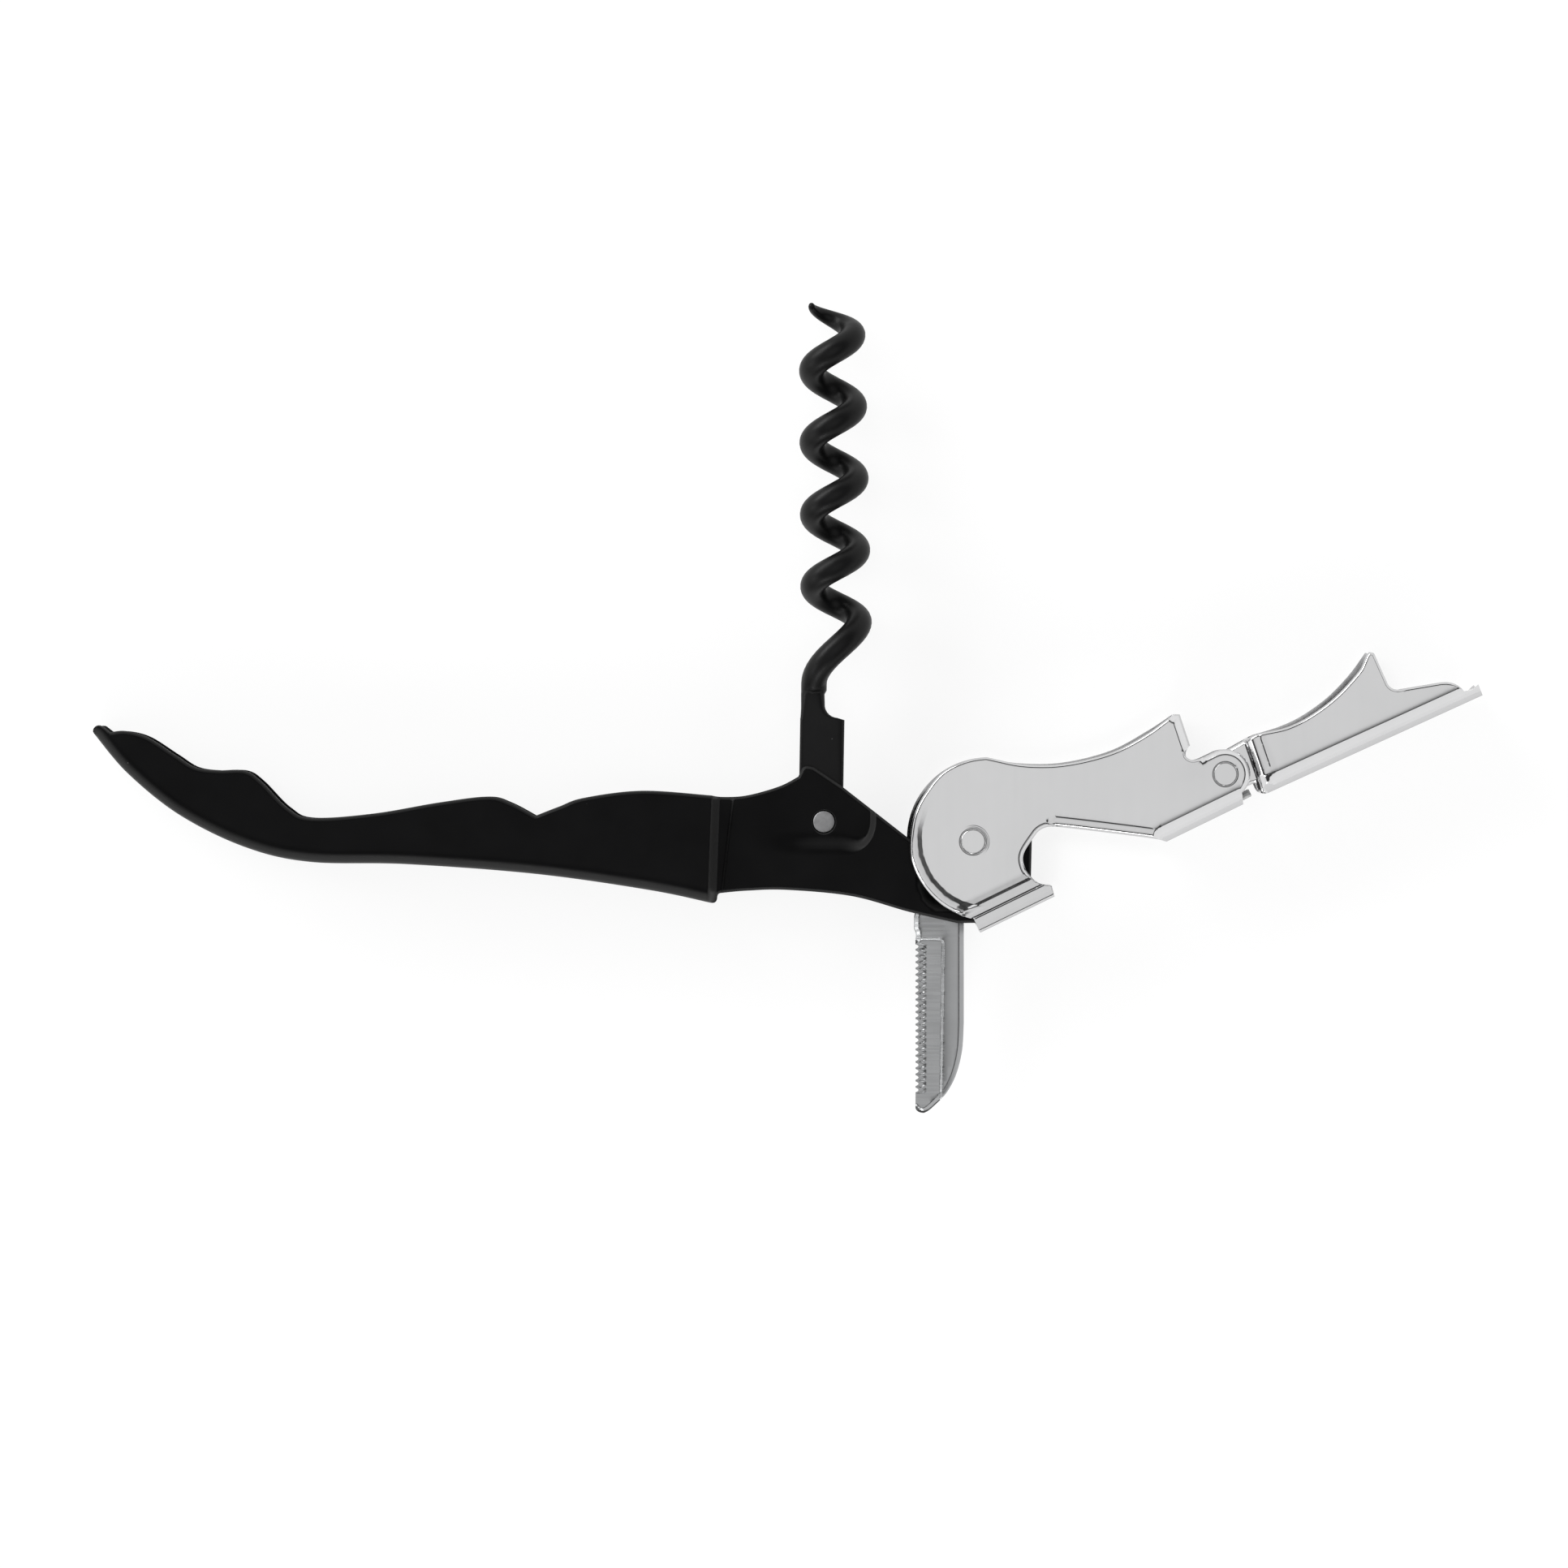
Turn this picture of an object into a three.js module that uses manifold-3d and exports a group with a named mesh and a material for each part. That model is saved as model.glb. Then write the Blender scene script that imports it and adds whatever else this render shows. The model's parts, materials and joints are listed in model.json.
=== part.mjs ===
// Double-hinged pocket corkscrew: a sheet-steel handle with a wire worm, a serrated foil knife,
// and a two-step lever made of a first arm and a hinged second arm, the boot.
// Shown open and lying on its side, in millimetres. Z runs through the thickness of the tool, so
// every hinge turns about Z. The drawing frame has its origin on the axis of the lever pin, and
// the finished group is moved so that its origin is the middle of its underside.

import * as THREE from "three";
import { mergeVertices } from "three/addons/utils/BufferGeometryUtils.js";
import Module from "manifold-3d";

const wasm = await Module();
wasm.setup();

// ---------------------------------------------------------------- driving dimensions

// Clearances
const FACE_GAP = 0.3; // between faces that slide past each other
const PIN_FIT = 0.15; // round a pin in its hole, on the radius

// Sheet metal
const TOOL_WIDTH = 12; // grip, lever and boot, outside
const HANDLE_SHEET = 1;
const LEVER_SHEET = 1.2; // lever and boot plate
const BEND_RADIUS = 2; // outside of every spine bend

// Handle
const HEAD_WIDTH = 8; // outside of the two head plates
const GRIP_LENGTH = 78.7; // from the shoulder to the tip
const TIP_RADIUS = 0.78; // rounded end of the grip
const SHOULDER_X = -33.6; // where the wide grip steps in to the head
const SHOULDER_RUN = 1.3; // length of that step
const GROOVE_WIDTH = 1.3; // shallow groove after the step
const GROOVE_DEPTH = 0.25;
const HEAD_RADIUS = 7.6; // round end of the head about the lever pin
const PANEL_X = [-23.4, -13.8]; // sides of the panel pressed in round the worm's tang
const PANEL_Y = [-1.2, 14]; // its lower edge, and a height past the head's top edge
const PANEL_CORNER = 2.4;
const DIMPLE_MARGIN = 0.9; // flat rim round the knife rivet in its pressed dimple
const PRESS_DRAFT = 0.7; // sideways run of a pressed wall for each mm of depth

// Worm
const WIRE_DIAMETER = 3.3;
const COIL_DIAMETER = 9.25; // outside, at the shank
const COIL_TIP_DIAMETER = 8.5; // outside, at the point
const COIL_PITCH = 9.22;
const COIL_TURNS = 5;
const COIL_OFFSET = 1.95; // coil axis, sideways from the rivet
const FIRST_TURN_DROP = 3.4; // below the line of the pitch, where the wire leaves the shank
const LAST_TURN_DROP = 0.8; // below the line of the pitch, at the point
const POINT_SHARE = 0.21; // of the wire's diameter that is left at the point
const WORM_LEAN = 0.8; // degrees that the worm leans when it stands open
const TANG_WIDTH = 5.7;
const TANG_THICKNESS = 2.8;
const TANG_HEIGHT = 13.3; // rivet to shoulder
const TANG_OFFSET = -0.4; // middle of the tang at the rivet, sideways from it
const SHANK_LENGTH = 7.7; // shoulder to where the line of the pitch starts
const SHANK_WIDTH = 3.05;
const SHANK_FILLET = 1.7; // where the shank stands on the tang
const WORM_RIVET_RADIUS = 1.3;
const WORM_RIVET_AT = new THREE.Vector2(-19.07, 2.52);

// Knife
const BLADE_THICKNESS = 1.2;
const BLADE_EDGE_THICKNESS = 0.3;
const BLADE_LENGTH = 29.35; // rivet to point
const BLADE_BACK = 2.3; // back, sideways from the rivet
const BLADE_EDGE = -3.9; // cutting edge, sideways from the rivet
const BEVEL_WIDTH = 3.4;
const BEVEL_TOP = 7.2; // below the rivet
const TOOTH_PITCH = 0.8;
const TOOTH_COUNT = 24;
const TOOTH_START = 0.8; // first tooth gap, below the top of the bevel
const TOOTH_DEPTH = 0.42; // of a gap, at the edge
const TOOTH_SLANT = 0.3; // radians that a gap's floor climbs away from the edge
const KNIFE_RIVET_RADIUS = 1.3;
const KNIFE_RIVET_AT = new THREE.Vector2(-3.4, -5.5);

// Lever, drawn with its spine level and its pin at the origin
const LEVER_TILT = 26; // degrees, when it rests on its stop
const LEVER_SPINE = -10.9; // outside of the spine
const LEVER_SPINE_END = 33.2;
const LEVER_MOUTH_END = 22.3; // where the spine starts again after the crown-cap mouth
const LIP_END = 6.3; // free end of the crown-cap lip
const LIP_BAR = 1.9; // thickness of its rounded bar, in the side view
const LIP_STEP = 3.5; // where the cheeks start to turn in to the bar
const LIP_INSET = 0.8; // how far they turn in
const LIP_BAR_INSET = 0.1; // how far the bar's bulge stays inside the cheeks
const TONGUE_LENGTH = 1.5; // stop for the boot, set back from the spine
const TONGUE_WIDTH = 6;
const LEVER_PLATE_RADIUS = 10.45;
const LEVER_PIN_RADIUS = 1.6; // in the lever cheeks
const LEVER_PIN_BARREL = 2.1; // radius in the head
const LEVER_CHEEK_END = 3.35; // past the boot pin
const CLAW_REACH = 3; // how far a first-step claw stops short of the middle plane

// Boot, drawn with its spine level and its pin at the origin
const BOOT_PIN_AT = new THREE.Vector2(32.77, -6.4); // in the lever's frame
const BOOT_TILT = -1.5; // degrees against the lever, at rest
const BOOT_SPINE = -4.5; // outside of the spine
const BOOT_SPINE_START = 3;
const BOOT_PIN_RADIUS = 1.45;
const EAR_RADIUS = 2.6;
const EAR_TOP = 3; // top edge of the ears, above the pin
const EAR_STEP_AT = 4.6; // where the ears start to step out to the full width
const EAR_STEP_RUN = 1.1;

const ROUND_STEPS = 28; // facets of a pin or a hole

// Finishes
const PAINT = { color: 0x17181a, metalness: 0.2, roughness: 0.42 };
const COATING = { color: 0x1b1b1c, metalness: 0.5, roughness: 0.38 };
const BLADE_STEEL = { color: 0xa5a7a8, metalness: 1, roughness: 0.35 };
const RIVET_STEEL = { color: 0x8f9092, metalness: 1, roughness: 0.55 };
const NICKEL = { color: 0xc9cacc, metalness: 1, roughness: 0.18 };

// ---------------------------------------------------------------- worked-out sizes

const halfWidth = TOOL_WIDTH / 2;
const leverInside = halfWidth - LEVER_SHEET;
const headOutside = HEAD_WIDTH / 2;
const headInside = headOutside - HANDLE_SHEET;
const earOutside = leverInside - FACE_GAP;
const wormFloor = TANG_THICKNESS / 2 + FACE_GAP; // inside of the pressed panel, from the middle
const knifeFloor = BLADE_THICKNESS / 2 + FACE_GAP; // inside of the pressed dimple
const deep = 100; // length of a cut that passes right through the tool
const CHANNEL_HEIGHT = 26; // of an uncut channel, more than any cheek needs

// ---------------------------------------------------------------- helpers

const point = (x, y) => new THREE.Vector2(x, y);
const radians = THREE.MathUtils.degToRad;

function toSolid(geometry) {
  const bare = geometry.clone();
  bare.deleteAttribute("normal");
  bare.deleteAttribute("uv");
  const merged = mergeVertices(bare, 1e-4);
  const vertProperties = merged.attributes.position.array;
  const triVerts = new Uint32Array(merged.index.array);
  return new wasm.Manifold(new wasm.Mesh({ numProp: 3, vertProperties, triVerts }));
}

function toGeometry(solid) {
  const { vertProperties, triVerts } = solid.getMesh();
  const geometry = new THREE.BufferGeometry();
  geometry.setAttribute("position", new THREE.BufferAttribute(vertProperties, 3));
  geometry.setIndex(new THREE.BufferAttribute(triVerts, 1));
  geometry.computeVertexNormals();
  return geometry;
}

// Adds a curve to an outline in a few straight steps.
function trace(side, curve, steps) {
  for (const p of curve.getSpacedPoints(steps)) side.lineTo(p.x, p.y);
}

function traceArc(side, middle, radius, start, end, steps) {
  const clockwise = end < start;
  const { x, y } = middle;
  const arc = new THREE.EllipseCurve(x, y, radius, radius, radians(start), radians(end), clockwise);
  trace(side, arc, steps);
}

function traceSpline(side, places, steps) {
  const from = side.currentPoint.clone();
  trace(side, new THREE.SplineCurve([from, ...places]), steps);
}

// A side view pushed through the thickness, between two heights.
function prism(shape, z0, z1, curveSegments = 4) {
  const options = { depth: z1 - z0, bevelEnabled: false, curveSegments };
  return new THREE.ExtrudeGeometry(shape, options).translate(0, 0, z0);
}

function throughPrism(shape, curveSegments = 4) {
  return prism(shape, -deep / 2, deep / 2, curveSegments);
}

// A plan view (x, z) pushed along Y.
function planPrism(shape) {
  return prism(shape, -deep / 2, deep / 2).rotateX(Math.PI / 2);
}

function mirrorZ(geometry) {
  const mirrored = (geometry.index ? geometry.toNonIndexed() : geometry.clone()).scale(1, 1, -1);
  const p = mirrored.attributes.position;
  for (let i = 0; i < p.count; i += 3) {
    const [x, y, z] = [p.getX(i), p.getY(i), p.getZ(i)];
    p.setXYZ(i, p.getX(i + 1), p.getY(i + 1), p.getZ(i + 1));
    p.setXYZ(i + 1, x, y, z);
  }
  return mirrored;
}

function pinHole(at, radius) {
  const r = radius / Math.cos(Math.PI / ROUND_STEPS);
  const hole = new THREE.CylinderGeometry(r, r, deep, ROUND_STEPS);
  return toSolid(hole.rotateX(Math.PI / 2).translate(at.x, at.y, 0));
}

// Sheet of one thickness that follows a line, to the right of its direction.
function sheetBand(line, thickness) {
  const inner = line.map((p, i) => {
    const before = line[Math.max(i - 1, 0)];
    const after = line[Math.min(i + 1, line.length - 1)];
    const a = p.clone().sub(before).normalize();
    const b = after.clone().sub(p).normalize();
    const along = a.lengthSq() === 0 ? b : b.lengthSq() === 0 ? a : a.clone().add(b).normalize();
    const straight = b.lengthSq() === 0 ? a : b;
    const shorten = along.dot(straight);
    return point(p.x + (along.y * thickness) / shorten, p.y - (along.x * thickness) / shorten);
  });
  return new THREE.Shape([...line, ...inner.reverse()]);
}

// U-shaped section of bent sheet: x across, y up from the outside of the spine.
function channelSection(width, height, sheet, bend) {
  const half = width / 2;
  const inside = half - sheet;
  const inner = bend - sheet;
  const u = new THREE.Shape();
  u.moveTo(half, height);
  u.lineTo(inside, height);
  u.lineTo(inside, bend);
  u.absarc(inside - inner, bend, inner, 0, -Math.PI / 2, true);
  u.lineTo(-inside + inner, sheet);
  u.absarc(-inside + inner, bend, inner, -Math.PI / 2, -Math.PI, true);
  u.lineTo(-inside, height);
  u.lineTo(-half, height);
  u.lineTo(-half, bend);
  u.absarc(-half + bend, bend, bend, Math.PI, Math.PI * 1.5, false);
  u.lineTo(half - bend, 0);
  u.absarc(half - bend, bend, bend, -Math.PI / 2, 0, false);
  return u;
}

// A section pushed along X, with the outside of its spine at the given height.
function straightChannel(section, x0, x1, spine) {
  const channel = prism(section, x0, x1, 5);
  const turn = new THREE.Matrix4().makeBasis(
    new THREE.Vector3(0, 0, -1),
    new THREE.Vector3(0, 1, 0),
    new THREE.Vector3(1, 0, 0),
  );
  return toSolid(channel.applyMatrix4(turn).translate(0, spine, 0));
}

// Closed skin over a row of convex rings that all have the same number of points.
function loft(rings) {
  const size = rings[0].length;
  const vertices = rings.flat();
  const index = [];
  for (let r = 0; r + 1 < rings.length; r++)
    for (let i = 0; i < size; i++) {
      const a = r * size + i;
      const b = r * size + ((i + 1) % size);
      index.push(a, b, b + size, a, b + size, a + size);
    }
  for (const [ring, flip] of [[0, true], [rings.length - 1, false]]) {
    const middle = new THREE.Vector3();
    for (const v of rings[ring]) middle.addScaledVector(v, 1 / size);
    vertices.push(middle);
    for (let i = 0; i < size; i++) {
      const a = ring * size + i;
      const b = ring * size + ((i + 1) % size);
      index.push(...(flip ? [b, a] : [a, b]), vertices.length - 1);
    }
  }
  const geometry = new THREE.BufferGeometry().setFromPoints(vertices);
  geometry.setIndex(index);
  return geometry;
}

// Rounded rectangle as a ring at one height, grown on all sides, for pressed panels.
function panelRing([x0, x1], [y0, y1], corner, grow, z) {
  const corners = [
    [x1 - corner, y0 + corner, -90],
    [x1 - corner, y1 - corner, 0],
    [x0 + corner, y1 - corner, 90],
    [x0 + corner, y0 + corner, 180],
  ];
  const radius = corner + grow;
  return corners.flatMap(([cx, cy, start]) =>
    [0, 22.5, 45, 67.5, 90].map((step) => {
      const a = radians(start + step);
      return new THREE.Vector3(cx + radius * Math.cos(a), cy + radius * Math.sin(a), z);
    }),
  );
}

function mesh(name, geometry, finish) {
  const made = new THREE.Mesh(geometry, new THREE.MeshStandardMaterial(finish));
  made.name = name;
  return made;
}

// ---------------------------------------------------------------- handle

// Places along the grip are given from the shoulder, as shares of its length; heights are in mm.
const gripX = (share) => SHOULDER_X - GRIP_LENGTH * share;
const gripCurve = (places) => places.map(([share, y]) => point(gripX(share), y));

function gripSide() {
  const side = new THREE.Shape();
  const tip = point(gripX(0.993), 14.1);
  side.moveTo(gripX(0.7), -14);
  side.lineTo(tip.x - TIP_RADIUS, 8);
  traceArc(side, tip, TIP_RADIUS, 180, 40, 5);
  side.lineTo(gripX(0.975), 13.98);
  traceSpline(side, gripCurve([
    [0.95, 14.15], [0.915, 13.4], [0.87, 11.15], [0.837, 9.55], [0.8, 9.13], [0.757, 9.1],
    [0.73, 7.75], [0.687, 4.36], [0.648, 3.04], [0.546, 3.6], [0.441, 5.0], [0.362, 5.75],
    [0.325, 5.0], [0.284, 3.3],
  ]), 40);
  traceSpline(side, gripCurve([[0.245, 4.5], [0.205, 5.6], [0.112, 6.5], [0, 5.9]]), 12);
  side.lineTo(SHOULDER_X, -14);
  return side;
}

function gripSpine() {
  const places = gripCurve([
    [1.005, 13.9], [0.947, 8.7], [0.863, 3.4], [0.757, -0.7], [0.652, -2.6], [0.494, -2.9],
    [0.284, -4.15], [0.1, -6.2], [-0.008, -7.9],
  ]);
  return new THREE.CatmullRomCurve3(places.map((p) => new THREE.Vector3(p.x, p.y, 0)));
}

function gripChannel() {
  const section = channelSection(TOOL_WIDTH, 14, HANDLE_SHEET, BEND_RADIUS);
  const options = { steps: 30, curveSegments: 4, extrudePath: gripSpine() };
  const channel = toSolid(new THREE.ExtrudeGeometry(section, options));
  const spineEnd = new THREE.Shape([
    point(SHOULDER_X, -14), point(SHOULDER_X, -5.2), point(SHOULDER_X + 1, -5.2),
    point(SHOULDER_X + 1, -14),
  ]);
  const keep = toSolid(throughPrism(gripSide())).add(toSolid(throughPrism(spineEnd)));
  return channel.intersect(keep);
}

function headSide() {
  const side = new THREE.Shape();
  side.moveTo(SHOULDER_X - 1, 5.95);
  traceSpline(side, [
    point(-32, 5.7), point(-28.9, 5.9), point(-24.8, 7.05), point(-22.35, 8.3),
  ], 10);
  side.lineTo(-21.95, 9.1);
  side.quadraticCurveTo(-21.7, 9.95, -20.3, 9.45);
  side.lineTo(-16.6, 6.95);
  side.lineTo(-8, 0.25);
  traceArc(side, point(0, 0), HEAD_RADIUS, 178, 5, 20);
  side.lineTo(HEAD_RADIUS - 0.15, -4.4);
  side.quadraticCurveTo(6.6, -7.4, 2.4, -9.4);
  side.lineTo(0.3, -10.42);
  side.lineTo(-2, -10.45);
  traceSpline(side, [
    point(-8.2, -9), point(-15.5, -7.0), point(-23.8, -6.2), point(-28.9, -6.3),
    point(SHOULDER_X - 1, -6.8),
  ], 16);
  return side;
}

function headPlate() {
  const plan = sheetBand(
    [
      point(SHOULDER_X - 1, halfWidth),
      point(SHOULDER_X, halfWidth),
      point(SHOULDER_X + SHOULDER_RUN, headOutside - GROOVE_DEPTH),
      point(SHOULDER_X + SHOULDER_RUN + GROOVE_WIDTH, headOutside - GROOVE_DEPTH),
      point(SHOULDER_X + SHOULDER_RUN + GROOVE_WIDTH + 0.5, headOutside),
      point(deep, headOutside),
    ],
    HANDLE_SHEET,
  );
  return toSolid(planPrism(plan)).intersect(toSolid(throughPrism(headSide())));
}

// A press tool pushes the sheet inwards: the same hollow outside as the bump inside.
function pressed(plate, ring, floor) {
  const slope = (headInside - floor) * PRESS_DRAFT;
  const wall = HANDLE_SHEET * PRESS_DRAFT;
  const bump = loft([
    ring(wall, floor),
    ring(slope + wall, headInside),
    ring(slope + wall, headInside + HANDLE_SHEET / 2),
  ]);
  const hollow = loft([
    ring(0, floor + HANDLE_SHEET),
    ring(slope, headOutside),
    ring(slope + wall, headOutside + HANDLE_SHEET),
  ]);
  return plate.add(toSolid(bump)).subtract(toSolid(hollow));
}

const wormPanel = (grow, z) => panelRing(PANEL_X, PANEL_Y, PANEL_CORNER, grow, z);

const knifeDimple = (grow, z) => {
  const { x, y } = KNIFE_RIVET_AT;
  return panelRing([x, x], [y, y], 0, KNIFE_RIVET_RADIUS + DIMPLE_MARGIN + grow, z);
};

function handle() {
  let plate = pressed(headPlate(), knifeDimple, knifeFloor);
  plate = pressed(plate, wormPanel, wormFloor).intersect(toSolid(throughPrism(headSide())));
  const near = toGeometry(plate);
  const solid = gripChannel()
    .add(plate)
    .add(toSolid(mirrorZ(near)))
    .subtract(pinHole(point(0, 0), LEVER_PIN_BARREL + PIN_FIT))
    .subtract(pinHole(WORM_RIVET_AT, WORM_RIVET_RADIUS + PIN_FIT))
    .subtract(pinHole(KNIFE_RIVET_AT, KNIFE_RIVET_RADIUS + PIN_FIT));
  return mesh("handle", toGeometry(solid), PAINT);
}

// ---------------------------------------------------------------- worm

const coilRadius = (turn) => {
  const tip = turn / (COIL_TURNS * 2 * Math.PI);
  return (THREE.MathUtils.lerp(COIL_DIAMETER, COIL_TIP_DIAMETER, tip) - WIRE_DIAMETER) / 2;
};

// Middle of the wire after a turn about the coil axis, at a height above the rivet.
function wireAt(turn, height) {
  const r = coilRadius(turn);
  return new THREE.Vector3(COIL_OFFSET - r * Math.cos(turn), height, r * Math.sin(turn));
}

// A ring round the wire. The side view width and the thickness are half sizes; a square share
// of 2 is round, and a larger one is flatter.
function wireRing(middle, along, turn, width, thickness, square) {
  const outwards = new THREE.Vector3(-Math.cos(turn), 0, Math.sin(turn));
  const across = along.clone().cross(outwards).normalize();
  const out = across.clone().cross(along).normalize();
  const power = 2 / square;
  return Array.from({ length: 16 }, (_, i) => {
    const a = ((i + 0.5) / 16) * 2 * Math.PI;
    const u = Math.sign(Math.cos(a)) * Math.abs(Math.cos(a)) ** power * width;
    const v = Math.sign(Math.sin(a)) * Math.abs(Math.sin(a)) ** power * thickness;
    return middle.clone().addScaledVector(out, u).addScaledVector(across, v);
  });
}

// Height of the wire above the rivet. Its first half turn starts low, so it climbs out of the
// shank steeply, and its last one stays low for the point.
function wireHeight(turn) {
  const early = Math.max(0, 1 - turn / Math.PI);
  const late = Math.max(0, 1 - COIL_TURNS * 2 + turn / Math.PI);
  const pitchLine = TANG_HEIGHT + SHANK_LENGTH + (COIL_PITCH * turn) / (2 * Math.PI);
  return pitchLine - FIRST_TURN_DROP * early ** 1.5 - LAST_TURN_DROP * late ** 2;
}

function worm() {
  const up = new THREE.Vector3(0, 1, 0);
  const wire = WIRE_DIAMETER / 2;
  const flat = TANG_THICKNESS / 2;
  const tang = TANG_WIDTH / 2;
  const foot = (y) => Math.sqrt(Math.max(tang * tang - y * y, 0.5));

  // The straight shank eases into the first turn over the lead angle, in radians.
  const lead = 0.3;
  const climb = (wireHeight(lead * 1.03) - wireHeight(lead)) / (lead * 0.03);
  const leadTurn = (q) => lead * q * q;
  const leadSpeed = Math.hypot(coilRadius(0), climb) * 2 * lead;
  const leadRise = (q) => leadSpeed * q + ((2 * lead * climb - leadSpeed) * q * q) / 2;
  const leadStart = wireHeight(lead) - leadRise(1);

  // The tang's right corner sweeps into the shank, whose left edge runs on from the tang's.
  const shankX = COIL_OFFSET - coilRadius(0) - 0.15;
  const shankRight = shankX + SHANK_WIDTH / 2;
  const shoulder = [80, 55, 30, 8].map((angle) => {
    const right = shankRight + SHANK_FILLET * (1 - Math.cos(radians(angle)));
    const left = THREE.MathUtils.lerp(-tang, shankX - SHANK_WIDTH / 2, 1 - angle / 90);
    const height = TANG_HEIGHT + SHANK_FILLET * (1 - Math.sin(radians(angle)));
    return [height, (left + right) / 2, (right - left) / 2, flat, 5];
  });
  // Height, middle, half width, half thickness and squareness of each ring up to the coil.
  const flattened = [
    ...[-0.97, -0.85, -0.6, -0.3].map((s) => [tang * s, TANG_OFFSET, foot(tang * s), flat, 7]),
    [0, TANG_OFFSET, tang, flat, 7],
    [TANG_HEIGHT - 0.1, 0, tang, flat, 7],
    ...shoulder,
    [leadStart, shankX, SHANK_WIDTH / 2, flat * 1.1, 3],
  ];
  const rings = flattened.map(([y, x, w, t, square]) =>
    wireRing(new THREE.Vector3(x, y, 0), up, 0, w, t, square),
  );

  const path = [0.25, 0.5, 0.75].map((q) => [leadTurn(q), leadStart + leadRise(q)]);
  const end = COIL_TURNS * 2 * Math.PI;
  const steps = Math.round(COIL_TURNS * 18);
  for (let i = 0; i <= steps; i++) {
    const turn = lead + ((end - lead) * i) / steps;
    path.push([turn, wireHeight(turn)]);
  }
  path.forEach(([turn, height], i) => {
    const [before, after] = [path[Math.max(i - 1, 0)], path[Math.min(i + 1, path.length - 1)]];
    const along = wireAt(...after).sub(wireAt(...before)).normalize();
    const left = (end - turn) / Math.PI; // half turns left to the point
    const r = wire * Math.min(1, POINT_SHARE + (1 - POINT_SHARE) * left ** 0.88);
    rings.push(wireRing(wireAt(turn, height), i ? along : up, turn, r, r, 2));
  });
  const solid = toSolid(loft(rings)).subtract(
    pinHole(point(0, 0), WORM_RIVET_RADIUS + PIN_FIT),
  );
  const made = mesh("worm", toGeometry(solid), COATING);
  made.rotation.z = radians(WORM_LEAN);
  made.position.set(WORM_RIVET_AT.x, WORM_RIVET_AT.y, 0);
  return made;
}

// ---------------------------------------------------------------- knife

function bladeSide() {
  const tip = -BLADE_LENGTH;
  const side = new THREE.Shape();
  side.moveTo(BLADE_BACK, -2.2);
  side.lineTo(BLADE_BACK, tip + 11.5);
  side.bezierCurveTo(BLADE_BACK - 0.3, tip + 6, 0.4, tip + 2.6, BLADE_EDGE + 1.1, tip);
  side.quadraticCurveTo(BLADE_EDGE + 0.2, tip, BLADE_EDGE, tip + 0.6);
  side.lineTo(BLADE_EDGE, -7);
  side.quadraticCurveTo(BLADE_EDGE + 0.2, -6.4, BLADE_EDGE - 0.2, -5.8);
  side.lineTo(BLADE_EDGE - 0.2, -4.2);
  side.absarc(0, 0, Math.hypot(BLADE_BACK, 2.2), Math.PI, -0.76, true);
  return side;
}

function knife() {
  let blade = toSolid(prism(bladeSide(), -BLADE_THICKNESS / 2, BLADE_THICKNESS / 2, 8));
  // Both faces are ground down from the bevel line to the edge.
  const bevelLine = BLADE_EDGE + BEVEL_WIDTH;
  const [full, thin] = [BLADE_THICKNESS / 2, BLADE_EDGE_THICKNESS / 2];
  const beyond = BLADE_EDGE - 1;
  const over = thin - (full - thin) / BEVEL_WIDTH;
  const wedge = new THREE.Shape([
    point(bevelLine, full), point(bevelLine, full + 1), point(beyond, full + 1), point(beyond, over),
  ]);
  const grind = prism(wedge, 0, BLADE_LENGTH).rotateX(Math.PI / 2).translate(0, -BEVEL_TOP, 0);
  blade = blade.subtract(toSolid(grind)).subtract(toSolid(mirrorZ(grind)));
  // Each tooth gap is a round groove ground into the front of the bevel, deepest at the edge.
  const grooveRadius = TOOTH_PITCH * 0.55;
  for (let i = 0; i < TOOTH_COUNT; i++) {
    const groove = new THREE.CylinderGeometry(grooveRadius, grooveRadius, 5, 10)
      .rotateZ(Math.PI / 2)
      .rotateY(-TOOTH_SLANT)
      .translate(
        BLADE_EDGE, -BEVEL_TOP - TOOTH_START - i * TOOTH_PITCH, grooveRadius + thin - TOOTH_DEPTH,
      );
    blade = blade.subtract(toSolid(groove));
  }
  blade = blade.subtract(pinHole(point(0, 0), KNIFE_RIVET_RADIUS + PIN_FIT));
  const made = mesh("knife", toGeometry(blade), BLADE_STEEL);
  made.position.set(KNIFE_RIVET_AT.x, KNIFE_RIVET_AT.y, 0);
  return made;
}

// ---------------------------------------------------------------- lever

const leverPlateMiddle = point(2.04, -0.61);

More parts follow.
